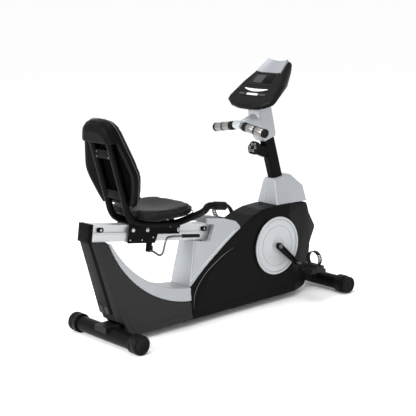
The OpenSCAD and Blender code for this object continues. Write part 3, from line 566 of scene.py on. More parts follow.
def side_panels():
    """Both silver side panels, with a grooved rim, and bright strips along the rim and the rear corner as painted
    highlights.
    """
    outline = ([(x - 0.3, z + 0.3) for x, z in PANEL_ARC]
               + [(800, 462), (775, 490), (720, 508), (606, 526), (560, 520), (520, 500), (517, 425)])
    o = skin(outline, FRONT_SHAPE)
    cut(o, plate([(480, rail_bottom(480) - 3), (600, rail_bottom(600) - 3), (638, rail_top(638) + 3),
                  (596, rail_top(596) + 3), (596, 600), (480, 600)], -110, 110),
        plate([(560, 400), (900, 360), (900, 600), (560, 600)], -50, 50),
        box(300, 648, -38, 38, -82, 2, RAIL))
    remesh(o, voxel(2.5, 5), 2)
    p, out = points(o), normals(o)
    side = sideways(out)
    edge = away(p[:, [0, 2]], PANEL_ARC)
    relief(o, (1.6 - 2.6 * step(edge, 9, 12) - 3.2 * near(edge - 12, 2.4)) * side)
    # Thin bright silver strips: painted highlights standing in for light caught by the rim and the rear corner
    lines = []
    arc_in = [(x - 9.5, z + 7.5) for x, z in PANEL_ARC[2:-2]]
    for s in (-1, 1):
        lines.append(tube(on_surface(o, arc_in, s, 60), 1.9, n=10))
        lines.append(tube([(464.6, s * 73.4, 206), (511.5, s * 60.4, 448)], 1.1, n=10, up=(1, 0, 0)))
    piece(join(lines), "panel_edge_highlights", "painted_highlight_silver", "frame", slot="silver_plastic")
    return piece(o, "side_panels", "silver_plastic", "frame", "silver_panel_right", "silver_panel_left")


def on_surface(o, path, s, n):
    """Points of a side-view path dropped onto a cover's side, s -1 or 1."""
    trail = []
    for x, z in even_path(path, n):
        hit, at, _, _ = o.ray_cast((x, s * 150, z), (0, -s, 0))
        if hit:
            trail.append((x, at.y, z))
    return trail


def front_cover():
    """The front casing with its rib, its skirt and a ring around the disc, and a grey line along the rib that is a
    painted highlight.
    """
    outline = ([(466.3, 30), (466.3, 196)] + PANEL_ARC
               + [(843, 470), (900, 498), (970, 518), (1070, 524), (1300, 512), (1338, 500), (1364, 440), (1438, 352),
                  (1438, 338), (1374, 268), (1362, 200), (1336, 60), (1318, 34), (1280, 30)])
    o = skin(outline, FRONT_SHAPE)
    cut(o, box(300, 648, -38, 38, -82, 2, RAIL), box(1300, 1480, -32, 32, 30, 124))
    remesh(o, voxel(4, 7))
    p, out = points(o), normals(o)
    side = sideways(out)
    rib = away(p[:, [0, 2]], RIB)
    skirt = away(p[:, [0, 2]], [(466, 74), (1330, 96)])
    disc = np.hypot(p[:, 0] - CRANK[0], p[:, 2] - CRANK[1])
    shift = 2.6 * near(rib, 4.0) - 1.4 * near(rib - 9, 4.5)
    shift += -2.0 * near(skirt, 5)
    shift += -2.2 * near(disc - 163, 5)
    relief(o, shift * side + centre_seam(p, side))
    # A tapered grey line on the rib's crest on each side: a painted highlight
    lines = []
    for s in (-1, 1):
        trail = on_surface(o, RIB, s, 60)
        last = len(trail) - 1
        tapered = [0.4 + 1.5 * min(1, i / 12, (last - i) / 12) for i in range(last + 1)]
        lines.append(tube(trail, tapered, n=10, up=(0, 1, 0)))
    piece(join(lines), "rib_highlight_line", "bezel_grey_and_rib_highlight", "frame", slot="casing_black")
    return piece(o, "front_cover", "casing_black", "frame", "front_casing_right", "front_casing_left")


def neck():
    """The silver cover at the mast's foot, with two grooves down its front and bright strips on its rear corners as
    painted highlights.
    """
    o = hull(NECK_SHAPE)
    remesh(o, voxel(2.5, 5), 2)
    p, out = points(o), normals(o)
    relief(o, -2.0 * near(np.abs(p[:, 1]) - 22, 2.2) * step(-out[:, 0], 0.6, 0.8))
    # Bright strips down the rear corners: painted highlights
    edges = [tube([(1083.4, s * 72.6, 530), (1098.2, s * 44.6, 646)], 1.1, n=10, up=(1, 0, 0)) for s in (-1, 1)]
    piece(join(edges), "neck_edge_highlights", "painted_highlight_silver", "frame", slot="silver_plastic")
    return piece(o, "neck", "silver_plastic", "frame", "neck_cover")


# ---------- seat ----------

def circle(c, r, n=48, sx=1.0):
    """n points of a circle about c, squeezed by sx in its first direction."""
    return [(c[0] + sx * r * cos(2 * pi * k / n), c[1] + r * sin(2 * pi * k / n))
            for k in range(n)]


def hull2d(pts):
    """The convex outline around some points, counterclockwise."""
    pts = sorted(set((round(x, 4), round(y, 4)) for x, y in pts))
    chain = []
    for run in (pts, pts[::-1]):
        part = []
        for p in run:
            while len(part) > 1 and ((part[-1][0] - part[-2][0]) * (p[1] - part[-2][1])
                                     - (part[-1][1] - part[-2][1]) * (p[0] - part[-2][0])) <= 0:
                part.pop()
            part.append(p)
        chain += part[:-1]
    return chain


def even(outline, n):
    """The closed outline again, with n evenly spaced points."""
    p = np.array(outline + [outline[0]], float)
    along = np.concatenate([[0], np.cumsum(np.linalg.norm(np.diff(p, axis=0), axis=1))])
    at = np.linspace(0, along[-1], n, endpoint=False)
    return list(zip(np.interp(at, along, p[:, 0]), np.interp(at, along, p[:, 1])))


def seat_outline(t, n=120):
    """The seat from above, t millimetres inside its widest outline."""
    pts = [(150 + a * 10, s * (140 - t)) for a in (-1, 1) for s in (-1, 1)]
    for s in (-1, 1):
        pts += circle((205, s * 130), 60 - t)
        pts += circle((350, s * 80), 110 - t)
    pts += circle((400, 0), 140 - t, sx=0.5)
    return even(hull2d(pts), n)


def softened(outline, corners, n):
    """The outline again, through a few of its points, with every corner cut three times."""
    p = even(outline, corners)
    for _ in range(3):
        p = [tuple(np.array(a) + (np.array(b) - np.array(a)) * k)
             for a, b in zip(p, p[1:] + p[:1]) for k in (0.25, 0.75)]
    return even(p, n)


def back_outline(t, n=120):
    """The backrest from the front, t millimetres inside its widest outline."""
    pts = []
    for s in (-1, 1):
        pts += circle((s * 52, 382), 68 - t) + circle((s * 114, 182), 80 - t) + circle((s * 84, 50), 52 - t)
    return softened(hull2d(pts), 26, n)


def inflate(o, cap):
    """Swells a form with a cloth simulation that moves no point by more than cap millimetres."""
    last = 20
    before = points(o)
    o.data.transform(Matrix.Scale(MM, 4))
    c = o.modifiers.new("c", "CLOTH")
    c.settings.quality = 6
    c.settings.mass = 0.3
    c.settings.tension_stiffness = 20
    c.settings.compression_stiffness = 20
    c.settings.use_pressure = True
    c.settings.uniform_pressure_force = 4.0
    c.settings.effector_weights.gravity = 0
    c.point_cache.frame_start, c.point_cache.frame_end = 1, last
    for f in range(1, last + 1):
        scene.frame_set(f)
        bpy.context.view_layer.update()
    bake(o)
    scene.frame_set(1)
    after = points(o) / MM
    d = after - before
    far = np.linalg.norm(d, axis=1)
    put(o, before + d * (np.minimum(far, cap) / np.maximum(far, 1e-9))[:, None])
    return o


def stuffed(outline, levels):
    """A cushion's closed form, swollen, and split finely enough for its seams."""
    o = inflate(remesh(stack(outline, levels), 5, 2), 7)
    return modified(o, "SUBSURF", levels=1, render_levels=1)


def seat_wave(x, y):
    """How far the seat's top sinks: most at its waist, along its middle and at its front."""
    across = near(y, 105)
    waist = near(x - 300, 75)
    front = step(x, 405, 465)
    return -7.0 * waist - 8.0 * across * (1 - 0.6 * step(x, 360, 440)) - 9.0 * front ** 2


def seat_pad():
    """The seat cushion with its seam and side fold, its base and its welt."""
    o = stuffed(seat_outline, ((12, 602), (5, 606), (3, 614), (3, 627), (10, 635), (26, 639.5)))
    p = points(o)
    p[:, 2] = np.minimum(p[:, 2], 646)
    p[:, 2] += step(p[:, 2], 618, 634) * seat_wave(p[:, 0], p[:, 1])
    put(o, p)
    p, out = points(o), normals(o)
    edge = from_loop(p, seat_outline(20))
    top = step(out[:, 2], 0.3, 0.6)
    low = p[:, 2] < 625
    fold = near(p[:, 2] - 616 - 3 * np.sin(p[:, 0] / 60), 3.0)
    wall = step(np.hypot(out[:, 0], out[:, 1]), 0.5, 0.8)
    relief(o, -3.2 * near(edge, 3.2) * top - 2.6 * fold * low * wall)
    o = piece(o, "seat_pad", "vinyl_black", "carriage", "seat_cushion", smooth=80)
    base = stack(seat_outline, ((50, 588), (38, 590), (30, 596), (28, 601)))
    cut(base, box(100, 168, -150, 150, 580, 610))
    piece(bevel(base, 1.2, 2), "seat_base", "frame_black", "carriage", "seat_pan")
    piece(bead(seat_outline(5), 604, 2.4), "seat_welt", "vinyl_black", "carriage")


def back_pad():
    """The back cushion with its border seam, lumbar seam and welt; the welt's lighter grey is a painted highlight
    along the rim.
    """
    o = stuffed(back_outline, ((9, 16.5), (3, 20), (2, 27), (6, 37), (20, 45)))
    p, out = points(o), normals(o)
    top = step(out[:, 2], 0.3, 0.6)
    edge = from_loop(p, back_outline(24))
    lumbar = away(p[:, :2], [(-190, 152), (-120, 140), (-60, 134), (60, 134), (120, 140), (190, 152)])
    inside = 1 - step(np.maximum(np.abs(p[:, 0]) - 128, 0), 0, 24)
    pad = 5.0 * near(p[:, 1] - 205, 60) * near(p[:, 0], 100)
    relief(o, top * (-3.2 * near(edge, 3.6) - 4.5 * near(lumbar, 5.5) * inside + pad))
    place(o, BACK)
    o = piece(o, "back_pad", "vinyl_black", "carriage", "back_cushion", smooth=80)
    # The welt is the cushion's seam; its grey, lighter and glossier than the vinyl, is a painted highlight along the
    # rim
    piece(bead(back_outline(1), 16.5, 1.9, BACK), "back_welt", "welt_grey_and_highlight", "carriage", slot="vinyl_black")


def back_cover():
    """The backrest's shell: a dished slab with a hood on top, and a near-black sheet in its dish as painted shade."""
    o = slab(back_outline(2), -8, 15)
    cap = [(x, y) for x, y in back_outline(2) if y > 340]
    shoulder = [(x, y) for x, y in back_outline(14) if y > 344]
    deep = [(x, y) for x, y in back_outline(42) if y > 350]
    hood = hull([(x, y, z) for x, y in cap for z in (-8, 0)] + [(x, y, -30) for x, y in shoulder]
                + [(x, y, -44) for x, y in deep])
    boolean(o, hood, "UNION")
    wide, narrow = back_outline(20), back_outline(56)
    cut(o, hull([(x, min(y, 342), -9) for x, y in wide] + [(x, min(y, 336), 10) for x, y in narrow]),
        hull([(x, min(y, 341), z) for x, y in back_outline(16) for z in (-60, -9)]),
        box(-112, 112, -30, 40, -30, 30, turn("X", -90)))
    remesh(o, voxel(3, 5), 4)
    place(o, BACK)
    # A matte near-black sheet on the floor of the dish: painted shade, darker than the shell itself
    lining = bevel(slab([(x, y) for x, y in back_outline(58) if y < 336], 7.5, 10.2, BACK), 0.8, 2)
    piece(lining, "back_recess_shade", "recess_shade_black", "carriage", slot="trim_black")
    return piece(o, "back_cover", "shell_black", "carriage", "back_shell", smooth=60, slot="trim_black")


def back_tube_x(z):
    """Where the seat tubes' back face stands at a height."""
    return 84 - 0.272 * (z - 650)


def seat_tubes():
    """Both tubes from backrest to side grips, with cross straps, feet and screws."""
    y0, grip_y = SEAT_TUBE_Y, 345
    bends = [(-6, y0, 990), (80, y0, 680), (92, y0, 625), (124, y0, 585), (200, y0, 564), (372, y0, 541),
             (398, 84, 547), (404, 150, 576), (396, 240, 613), (364, 318, 648), (350, 342, 668),
             (372, grip_y, 673), (454, grip_y, 657.4)]
    parts = [tube(eased([(x, s * y, z) for x, y, z in bends]), 17, n=24) for s in (-1, 1)]
    for z in (700, 900):
        x = back_tube_x(z)
        parts.append(bevel(box(x - 9, x - 3, -y0, y0, z, z + 40), 2))
        parts.append(bevel(box(x - 13, x - 3, -y0, y0, z + 36, z + 42), 1.5))
    for x in (160, 340):
        z = rail_top(x + 17) + 12.5
        parts.append(bevel(box(x, x + 34, -y0, y0, z, z + 6), 1.5))
        for s in (-1, 1):
            parts.append(bevel(box(x, x + 34, s * y0 - 3, s * y0 + 3, 548, 588), 1.2))
    piece(join(parts), "seat_tubes", "frame_black", "carriage", "seat_frame")
    head = [(5, 0), (5, 1.2), (4, 1.3), (3.8, 3.4), (2.8, 4), (1.8, 4), (1.7, 2.4), (0.3, 2.4)]
    screws = [lathe(head, move(back_tube_x(900) - 9, y, z) @ turn("Y", -90), 32)
              for z in (908, 930) for y in (-46, 46)]
    piece(join(screws), "back_screws", "drive_steel", "carriage")


# ---------- base ----------

def foot_end(outer, y_end, x, side):
    """A foot cap: a short collar with a rounded rim and a shallow dish in its end."""
    at = axis_y(x, 0, FOOT_R, side)
    return lathe([(38.5, outer - 62), (46, outer - 62), (47.6, outer - 60.5), (48, outer - 58), (48, y_end - 40),
                  (47.2, y_end - 39), (47.2, y_end - 36), (48, y_end - 35), (48, y_end - 9), (46.8, y_end - 4),
                  (43.5, y_end - 1), (40, y_end), (33, y_end), (31, y_end - 1.5), (0.5, y_end - 2.2)], at)


def base_parts():
    """The four foot caps and the two transport wheels."""
    piece(join([foot_end(272, 272, 0, s) for s in (-1, 1)]), "rear_feet", "trim_black", "frame", "rear_foot_caps")
    parts = []
    for s in (-1, 1):
        parts.append(foot_end(247, 235, FRONT_FOOT_X, s))
        parts.append(lathe([(9, 230), (9, 259), (8, 260.5), (0.5, 260.5)], axis_y(FRONT_FOOT_X, 0, FOOT_R, s), 32))
    piece(join(parts), "front_feet", "trim_black", "frame", "front_foot_caps")
    for side, s in SIDES:
        ring = [(9.1, 236.5), (36, 236.5), (41.5, 238), (44, 241), (45, 244), (45, 249), (44.2, 250), (44.2, 252),
                (45, 253), (45, 256), (43.6, 259.6), (40, 261.6), (31, 261.8), (28.5, 260), (27, 258.6), (16, 258.4),
                (13, 260), (9.1, 260)]
        wheel = lathe(ring + ring[:1], axis_y(FRONT_FOOT_X, 0, FOOT_R, s))
        piece(wheel, "wheel_" + side, "rubber_black", side + "_wheel", "transport_wheel_" + side)


# ---------- drive ----------

def crank_parts():
    """On each side a disc, a grooved crank arm, the axle's bolt and the pedal's spindle."""
    for side, s in SIDES:
        at = axis_y(CRANK[0], 0, CRANK[1], s)
        disc = lathe([(9, 92), (150, 92), (154, 93), (156, 95.5), (156, 99), (154.6, 101.8), (151, 103), (146, 103),
                      (143.6, 101.6), (143, 96.6), (140.4, 96.6), (139.4, 98.8), (110, 98.6), (109.4, 96.6),
                      (107, 96.6), (106.4, 98.6), (70, 99.2), (58, 100.2), (50, 102.4), (46, 103.2), (45.4, 101.4),
                      (43.4, 101.4), (42.8, 103.2), (34, 103.2), (31, 102), (29, 102), (9, 102)], at, 128)
        piece(disc, "crank_disc_" + side, "disc_silver", "crank", "crank_covers")
        rest = degrees(ARM_REST)
        arm_at = at @ turn("Z", rest + 180 if s > 0 else -rest)
        arm = hull([(x, y, z) for (cx, r, z0, z1) in ((0, 18, 107, 121), (ARM_LENGTH, 13.5, 108, 120))
                    for x, y in circle((cx, 0), r, 40) for z in (z0, z1)], arm_at)
        arm = remesh(arm, 1.8, 5)
        p = local(arm, arm_at)
        groove = away(p[:, :2], [(30, 0), (140, 0)])
        relief(arm, np.where(p[:, 2] > 117, -2.2 * (1 - step(groove, 5, 8)), 0))
        piece(arm, "arm_" + side, "frame_black", "crank", "crank_arm_" + side)
        bolt = lathe([(12, 118), (12, 125), (10.5, 127.4), (8.5, 128), (6.5, 127.4), (6, 124.4), (0.5, 124.4)],
                     at, 48)
        stub = lathe([(6, 118), (6, 262), (0.5, 262)], arm_at @ move(ARM_LENGTH, 0, 0), 32)
        piece(bolt, "axle_bolt_" + side, "drive_steel", "crank")
        piece(stub, "spindle_" + side, "bolt_steel", "crank")


PEDAL_IN, PEDAL_OUT = 168, 270
PEDAL_MID = (PEDAL_IN + PEDAL_OUT) / 2
STRAP_FOOT = 29.4
STRAP_MID = 1.75


def pedal_body(side, at):
    """The barrel, two side plates, cross bars and two rows of teeth."""
    parts = [lathe([(6.2, 160), (12, 160), (13, 162), (13, 166), (11, 170), (11, 262), (12.5, 266), (13, 270),
                    (11, 272), (0.5, 272)], at @ turn("X", -90), 40)]
    rim = [(-44, -24), (-40, -30), (46, -30), (52, -24), (52, -4), (46, 1), (20, -1), (-20, -1), (-38, 1),
           (-44, -4)]
    for y in (PEDAL_IN, PEDAL_OUT - 9):
        parts.append(bevel(plate(rim, y, y + 9, at), 1.4, 2, 30))
    inner, outer = PEDAL_IN + 1, PEDAL_OUT - 1
    for x0, z0 in ((-44, -30), (40, -30), (-44, -9), (40, -9)):
        parts.append(bevel(box(x0, x0 + 12, inner, outer, z0, z0 + 10, at), 1.6, 2, 30))
    for x0 in (-24, 22):
        parts.append(bevel(box(x0, x0 + 10, inner, outer, -5, 1, at), 1.2, 2, 30))
    for k in range(9):
        for x0 in (-42, 42):
            parts.append(bevel(box(x0, x0 + 8, 174 + k * 11, 179 + k * 11, 0, 3.6, at), 0.8, 1, 30))
    parts.append(bevel(box(10, 40, PEDAL_MID - 42, PEDAL_MID + 42, -9, 0.4, at), 1.2, 2, 30))
    piece(join(parts), "pedal_body_" + side, "pedal_black", side + "_pedal", "pedal_" + side)


def toe_strap(side, at, r, stretch):
    """The strap over the foot: a loop of radius r, stretched sideways, with a row of slots."""
    h = 3.7 + sqrt(r * r - STRAP_FOOT ** 2)
    a = degrees(acos(STRAP_FOOT / r))
    loop = [(-30.4, -4)] + arc((0, h), r + STRAP_MID, 180 + a, -a, 60) + [(30.4, -4)]
    line = [(y * stretch, w) for y, w in loop]
    inner, outer = [], []
    for i, (y, w) in enumerate(line):
        b, f = line[max(i - 1, 0)], line[min(i + 1, len(line) - 1)]
        t = Vector((f[0] - b[0], f[1] - b[1])).normalized()
        inner.append((y - t.y * 1.5, w + t.x * 1.5))
        outer.append((y + t.y * 1.5, w - t.x * 1.5))
    ring = inner + outer[::-1]
    strap = bevel(loft([[(x0, PEDAL_MID + y, w) for y, w in ring] for x0 in (14.5, 41.5)], at), 0.7, 2, 50)
    slots = []
    for k in range(7):
        a2 = radians(-a + 15 + k * 11)
        y, w = stretch * (r + STRAP_MID) * cos(a2), h + (r + STRAP_MID) * sin(a2)
        slot_at = at @ move(28, PEDAL_MID + y, w) @ turn("X", degrees(a2) - 90)
        slots.append(box(-9, 9, -1.3, 1.3, -6, 6, slot_at))
    cut(strap, join(slots))
    piece(strap, "toe_strap_" + side, "rubber_black", side + "_pedal", "pedal_strap_" + side)


def pedal_parts():
    """Both pedals. The left strap is let out wider than the right one."""
    for side, s in SIDES:
        d = -s * ARM_LENGTH
        x, z = CRANK[0] + d * cos(ARM_REST), CRANK[1] - d * sin(ARM_REST)
        at = move(x, 0, z) @ (Matrix.Scale(-1, 4, (0, 1, 0)) if s < 0 else WORLD)
        pedal_body(side, at)
        toe_strap(side, at, *((41, 1.0) if s < 0 else (46, 1.5)))


# ---------- mast, handlebar and console ----------

def knob_parts():
    """The mast's locking knob: six scallops, and six round pockets with pale rings on their rims as painted
    highlights.
    """
    face = []
    for k in range(144):
        a = 2 * pi * k / 144
        r = 36 - 3.4 * (0.5 - 0.5 * cos(6 * a + pi)) ** 3
        face.append((r * cos(a), r * sin(a)))
    grip = bevel(slab(face, 6, 29, KNOB), 2.6, 3, 50)
    angles = [radians(30 + 60 * k) for k in range(6)]
    centres = [(20 * cos(a), 20 * sin(a)) for a in angles]
    cut(grip, join([lathe([(5.2, 22.5), (6.4, 33)], KNOB @ move(x, y, 0), 28) for x, y in centres]))
    grip = join([grip, lathe([(6, -62), (6, 2), (23, 2), (24, 4), (24, 8), (0.5, 8)], KNOB, 48)])
    piece(grip, "knob_grip", "trim_black", "knob", "mast_knob")
    # Pale rings on the pocket rims: painted highlights on the pockets' edges
    rims = [bead(circle(c, 6.2, 28), 28.8, 0.8, KNOB, n=8) for c in centres]
    piece(join(rims), "knob_rim_highlights", "key_light", "knob")


def mast_top():
    """The silver cover at the top of the mast, with a collar around the bar's stem."""
    cover = hull([(x, y, h) for h, a, b, w in ((348, -44, 40, 29), (372, -62, 41, 34), (440, -70, 41, 38),
                                               (530, -50, 42, 42)) for x in (a, b) for y in (-w, w)])
    collar = lathe([(24, 0), (50, 94)], MAST.inverted() @ move(901, 0, BAR_HUB.z) @ turn("Y", 90), 72)
    boolean(cover, collar, "UNION")
    remesh(cover, voxel(2.5, 5), 5)
    p = points(cover)
    relief(cover, -1.2 * near(p[:, 1], 2.0) * (p[:, 0] > 20))
    place(cover, MAST)
    piece(cover, "mast_cover", "silver_plastic", "upper_mast", "mast_top_cover")


def bar_parts():
    """The handlebar: stem, hub and two arms, each with rings, two sensors and an end cap."""
    rings, sensors = [], []
    metal = [tube([BAR_HUB, (1030, 0, BAR_HUB.z)], 15, n=48, up=(0, 0, 1)),
             lathe([(0.5, -27), (19, -27), (21.4, -26), (22, -24), (22, 24), (21.4, 26), (19, 27), (0.5, 27)],
                   axis_y(BAR_HUB.x, 0, BAR_HUB.z), 56)]
    for s in (-1, 1):
        end = Vector((BAR_END.x, s * BAR_END.y, BAR_END.z))
        d = end - BAR_HUB
        n = d.length
        at = aimed(BAR_HUB, d)

        def band(a, b, r, e):
            """A ring of radius r from a to b along the arm, its edges rounded by e."""
            z0, z1 = a * n, b * n
            return lathe([(14, z0), (r - e, z0), (r - 0.3 * e, z0 + 0.3 * e), (r, z0 + e), (r, z1 - e),
                          (r - 0.3 * e, z1 - 0.3 * e), (r - e, z1), (14, z1)], at, 56)
        metal.append(lathe([(15, 0), (15, n * 0.95), (0.5, n * 0.95)], at, 48))
        rings += [band(0.19, 0.34, 23.4, 2.6), band(0.604, 0.656, 23.0, 1.8)]
        cap = [(14, 0.92 * n), (22.4, 0.92 * n), (23.4, 0.925 * n), (23.4, n - 4), (22.4, n - 1.4), (19.5, n),
               (12, n), (10, n - 1.6), (0.5, n - 1.6)]
        rings.append(lathe(cap, at, 56))
        for a, b in ((0.342, 0.603), (0.657, 0.918)):
            shell = band(a, b, 22.5, 1.0)
            for turned in (0, 180):
                cut(shell, box(18, 26, -0.8, 0.8, a * n - 1, b * n + 1, at @ turn("Z", turned)))
            sensors.append(shell)
    piece(join(metal), "bar", "bar_silver", "upper_mast", "handlebar")
    piece(join(rings), "bar_rings", "rubber_black", "upper_mast", "grip_rings")
    piece(join(sensors), "bar_sensors", "sensor_steel", "upper_mast", "pulse_plates")


# Half of the console's outline, from its lower edge to its upper one
WING = [(-163, 0), (-160, 60), (-146, 120), (-118, 162), (-96, 166), (10, 144), (92, 113), (178, 78)]


def inset(outline, t):
    """A convex outline, counterclockwise, with every edge moved inwards by t."""
    n, lines = len(outline), []
    for i in range(n):
        a, b = Vector(outline[i]), Vector(outline[(i + 1) % n])
        d = (b - a).normalized()
        lines.append((a + Vector((-d.y, d.x)) * t, d))
    moved = []
    for i in range(n):
        (p, d), (q, e) = lines[i - 1], lines[i]
        cross = d.x * e.y - d.y * e.x
        k = ((q.x - p.x) * e.y - (q.y - p.y) * e.x) / cross if abs(cross) > 1e-9 else 0
        moved.append((p.x + d.x * k, p.y + d.y * k) if abs(cross) > 1e-9 else (q.x, q.y))
    return moved


def console_shell():
    """The console's front with its grooves, window and dish, and its ridged back."""
    wing = WING[::-1] + [(x, -y) for x, y in WING[1:-1]] + [(178, -78)]
    if sum(a[0] * b[1] - a[1] * b[0] for a, b in zip(wing, wing[1:] + wing[:1])) < 0:
        wing = wing[::-1]
    rim = [(x, y, z) for x, y in wing for z in (-30, -12)] + [(x, y, -1) for x, y in inset(wing, 13)]
    face = remesh(hull(rim), voxel(2.2, 4.5), 3)
    p = points(face)
    front = step(p[:, 2], -9, -4)
    outside = from_loop(p, inset(wing, 17))
    u, y = p[:, 0], np.abs(p[:, 1])
    window = np.maximum(np.maximum(-2 - u, u - 70), y - 75)
    bezel = np.maximum(np.maximum(-10 - u, u - 77), y - 90 + 0.1 * u)
    dish = np.maximum(np.maximum(82 - u, u - 176), y - 90 + 0.2 * (u - 84))
    shift = -1.3 * near(outside, 3) - 2.4 * (1 - step(window, -2, 1)) + 1.4 * (1 - step(bezel, 0, 3))
    shift -= 14.0 * (1 - step(dish, -4, 0))
    panel = np.maximum(np.maximum(-96 - u, u + 64), y - 104)
    shift += -1.2 * near(panel, 2.5)
    relief(face, shift * front)
    piece(place(face, CONSOLE), "console_face", "trim_black", "upper_mast", "console_front", smooth=60)
    rear = ([(x, y, -31) for x, y in wing] + [(x, s * y, z) for s in (-1, 1) for x, y, z in
            ((150, 56, -78), (160, 56, -76), (60, 92, -84), (70, 92, -82), (-70, 104, -66), (-60, 104, -64))])
    rear = remesh(hull(rear), voxel(3, 6), 2)
    p = points(rear)
    ridge = near(p[:, 2] + 44, 2.5)
    relief(rear, -1.8 * ridge)
    piece(place(rear, CONSOLE), "console_rear", "trim_black", "upper_mast", "console_back", smooth=60)


def console_display():
    """The light strip, the screen with its frame, and the three keys."""
    smile = [(-50 + 11 * (y / 84) ** 2, y, 0.4) for y in range(-84, 85, 6)]
    widths = [2.4 + 7.0 * (1 - (q[1] / 84) ** 2) for q in smile]
    piece(tube(smile, widths, CONSOLE, n=16, flat=0.35, up=(1, 0, 0)), "light_strip", "key_light", "upper_mast")
    piece(bevel(box(1, 67, -71, 71, -2.6, -1.2, CONSOLE), 0.5, 2), "screen_window", "screen", "upper_mast",
          "console_screen")
    piece(bevel(box(6, 62, 2, 66, -1.2, -0.9, CONSOLE), 0.1, 1), "screen_panel", "screen_grey", "upper_mast",
          slot="screen")
    window = ((-5, -78), (-5, 78), (75, 72), (75, -72))
    piece(bead(window, -0.4, 0.9, CONSOLE, n=8), "screen_frame", "bezel_grey_and_rib_highlight", "upper_mast", slot="screen")
    for name, y0, w, look in (("start", 0, 82, "key_light"), ("left", 74, 46, "key_grey"),
                              ("right", -74, 46, "key_grey")):
        cap = bevel(box(-85.6, -72.4, y0 - w / 2 + 0.4, y0 + w / 2 - 0.4, -4, 1.6, CONSOLE), 1.3, 3)
        piece(cap, name + "_button", look, name + "_button", name + "_key")


def console_rest():
    """The silver rest over the console's dish."""
    rings = []
    for k in range(17):
        f = k / 16
        half, lift = 89 - 18 * f, 2.5 * f * f
        top = [(83 + 93 * f, q * half, -8.5 + lift + 16 * q * q) for q in (-1 + i / 16 for i in range(33))]
        rings.append(top + [(83 + 93 * f, half, -14), (83 + 93 * f, -half, -14)])
    shelf = bevel(loft(rings, CONSOLE), 1.2, 2, 50)
    piece(shelf, "console_rest", "rest_silver", "upper_mast", "console_shelf", slot="silver_plastic")


# ---------- rail, carriage and lever ----------

LEVER = [(272, 0, -126), (272, -44, -126), (285, -112, -150), (290, -118, -62), (306, -118, -44), (500, -118, -44)]
BOLTS_X = (141, 229, 425)


def rail_parts():
    """The rail's rear cap and sleeve, and the oval slot plates with their screws."""
    parts = [bevel(box(-117, -105, -41, 41, -84, 4, RAIL), 2.4, 3)]
    sleeve = cut(box(-106, -91, -41, 41, -84, 4, RAIL), box(-120, -80, -36.2, 36.2, -80.2, 0.2, RAIL))
    parts.append(bevel(sleeve, 1.0, 2))
    for s in (-1, 1):
        for z in (-20, -62):
            parts.append(lathe([(4.5, -119.4), (4.5, -118), (5.5, -117)],
                               RAIL @ move(0, s * 24, z) @ turn("Y", 90), 28))
    piece(join(parts), "rail_cap", "shell_black", "frame", "rail_rear_cap", slot="trim_black")
    pads, screws = [], []
    for x in (-62, 590):
        for s in (-1, 1):
            oval = circle((x + 11, 0), 11) + circle((x + 27, 0), 11)
            pads.append(bevel(slab(hull2d(oval), 29, 35.2, rail_side(0, SLOT_Z, s)), 1.2, 2, 50))
            screws.append(lathe([(6, 35.2), (6, 36.4), (4.8, 37.4), (2.6, 37.4), (2.2, 36), (0.3, 36)],
                                rail_side(x + 22, SLOT_Z, s), 32))
    piece(join(pads), "rail_slots", "shell_black", "frame", "rail_end_stops", slot="trim_black")
    piece(join(screws), "slot_screws", "bolt_steel", "frame")


def hex_bolt(x, z, side, r=7, y=49.2):
    """A hexagonal head on its washer."""
    at = rail_side(x, z, side)
    return join([lathe([(r + 2.5, y), (r + 2.5, y + 1.2), (r + 1.8, y + 1.6), (0.5, y + 1.6)], at, 36),
                 bevel(lathe([(r, y + 1.6), (r, y + 6.5), (r - 1.4, y + 7.4), (0.5, y + 7.4)], at, 6), 0.5, 2, 20)])


def carriage_parts():
    """The carriage's hexagonal bolts and their shanks, and its small round screws."""
    bolts = [hex_bolt(x, SLOT_Z, s) for x in BOLTS_X for s in (-1, 1)]
    for s in (-1, 1):
        for x in BOLTS_X:
            bolts.append(lathe([(4, 30), (4, 50)], rail_side(x, SLOT_Z, s), 24))
        for x, z in ((280, -8), (370, -8), (128, -72), (200, -72), (268, -60)):
            bolts.append(lathe([(3.6, 49.1), (3.6, 50.4), (2.6, 51.2), (0.5, 51.4)], rail_side(x, z, s), 24))
    piece(join(bolts), "bolt_heads", "bolt_steel", "carriage", "carriage_bolts")


def grip_parts():
    """The two ribbed foam grips beside the seat."""
    parts = []
    for s in (-1, 1):
        start, end = Vector((392, s * 345, 668)), Vector((462, s * 345, 656))
        along = end - start
        length = along.length
        profile = [(17.4, 0), (19.4, 0), (20.4, 1.4)]
        rib = 4.0
        while rib < length - 6:
            profile += [(20.4, rib), (19.5, rib + 0.9), (20.4, rib + 1.8)]
            rib += 6
        profile += [(20.4, length - 3), (19, length - 0.6), (16.5, length), (0.5, length)]
        parts.append(lathe(profile, aimed(start, along), 56))
    piece(join(parts), "foam_grips", "rubber_black", "carriage", "seat_grips")


def lever_parts():
    """The seat lock's bent rod and its ribbed grip."""
    rod = tube(eased(LEVER), 5.4, RAIL, n=20, up=(1, 0, 0))
    profile = [(5.2, 392), (8, 392), (9, 393.5), (9, 398)]
    for k in range(12):
        x = 402 + k * 8
        profile += [(9, x), (8.2, x + 1.2), (9, x + 2.4)]
    profile += [(9, 501), (8, 503.6), (5.5, 504), (0.5, 504)]
    grip = lathe(profile, RAIL @ move(0, *LEVER[-1][1:]) @ turn("Y", 90), 40)
    piece(rod, "lever_rod", "drive_steel", "lever", "seat_lever", slot="bolt_steel")
    piece(grip, "lever_grip", "rubber_black", "lever")


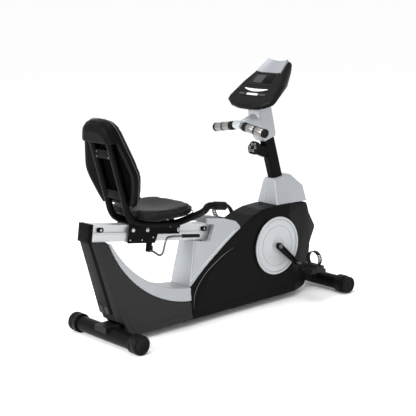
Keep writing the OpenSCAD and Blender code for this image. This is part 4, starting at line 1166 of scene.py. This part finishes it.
rear_cover()
rear_spine()
arch_cover()
side_panels()
front_cover()
neck()
seat_pad()
back_pad()
back_cover()
seat_tubes()
base_parts()
crank_parts()
pedal_parts()
knob_parts()
mast_top()
bar_parts()
console_shell()
console_display()
console_rest()
rail_parts()
carriage_parts()
grip_parts()
lever_parts()


# ---------- camera, floor and light ----------

cam_data = bpy.data.cameras.new("camera")
cam_data.lens = 96.92
cam_data.sensor_width = 36
cam_data.clip_end = 300
cam = added("camera", cam_data)
cam.rotation_mode = "QUATERNION"
ahead = Vector((0.6466, 0.7338, -0.2085))
right = Vector((0.7481, -0.6634, -0.0149))
above = Vector((0.1493, 0.1463, 0.9779))
axes = Matrix((right, above, -ahead)).transposed()
cam.rotation_quaternion = axes.to_quaternion()
cam.location = (-3.7333, -4.2030, 1.7585)
scene.camera = cam

floor_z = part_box("rear_foot_caps")[0].z
floor_mesh = bpy.data.meshes.new("floor")
FAR = 150
floor_mesh.from_pydata([(x * FAR, y * FAR, floor_z) for x, y in ((-1, -1), (1, -1), (1, 1), (-1, 1))], [],
                       [[0, 1, 2, 3]])
floor = added("floor", floor_mesh)
floor.data.materials.append(surface("floor", (0.98, 0.98, 0.98), 0.8, grain=30, bump=0.0, vary=0.004, specular=0.2))


def lamp(name, at, size, power, target=(0, 0, 0.5)):
    d = bpy.data.lights.new(name, "AREA")
    d.shape = "DISK"
    d.size = size
    d.energy = power
    o = added(name, d)
    o.location = at
    o.rotation_mode = "QUATERNION"
    o.rotation_quaternion = (Vector(target) - Vector(at)).to_track_quat("-Z", "Y")


lamp("top", (-0.8, -0.2, 4.5), 2.6, 105)
lamp("key", (-4.4, 0.6, 2.2), 1.6, 210)
lamp("side", (0.5, -4.8, 2.2), 1.2, 8)
world = bpy.data.worlds.new("studio")
world.use_nodes = True
backdrop = world.node_tree.nodes["Background"].inputs
backdrop["Color"].default_value = (1, 1, 1, 1)
backdrop["Strength"].default_value = 1.0
scene.world = world
scene.view_settings.view_transform = "Standard"
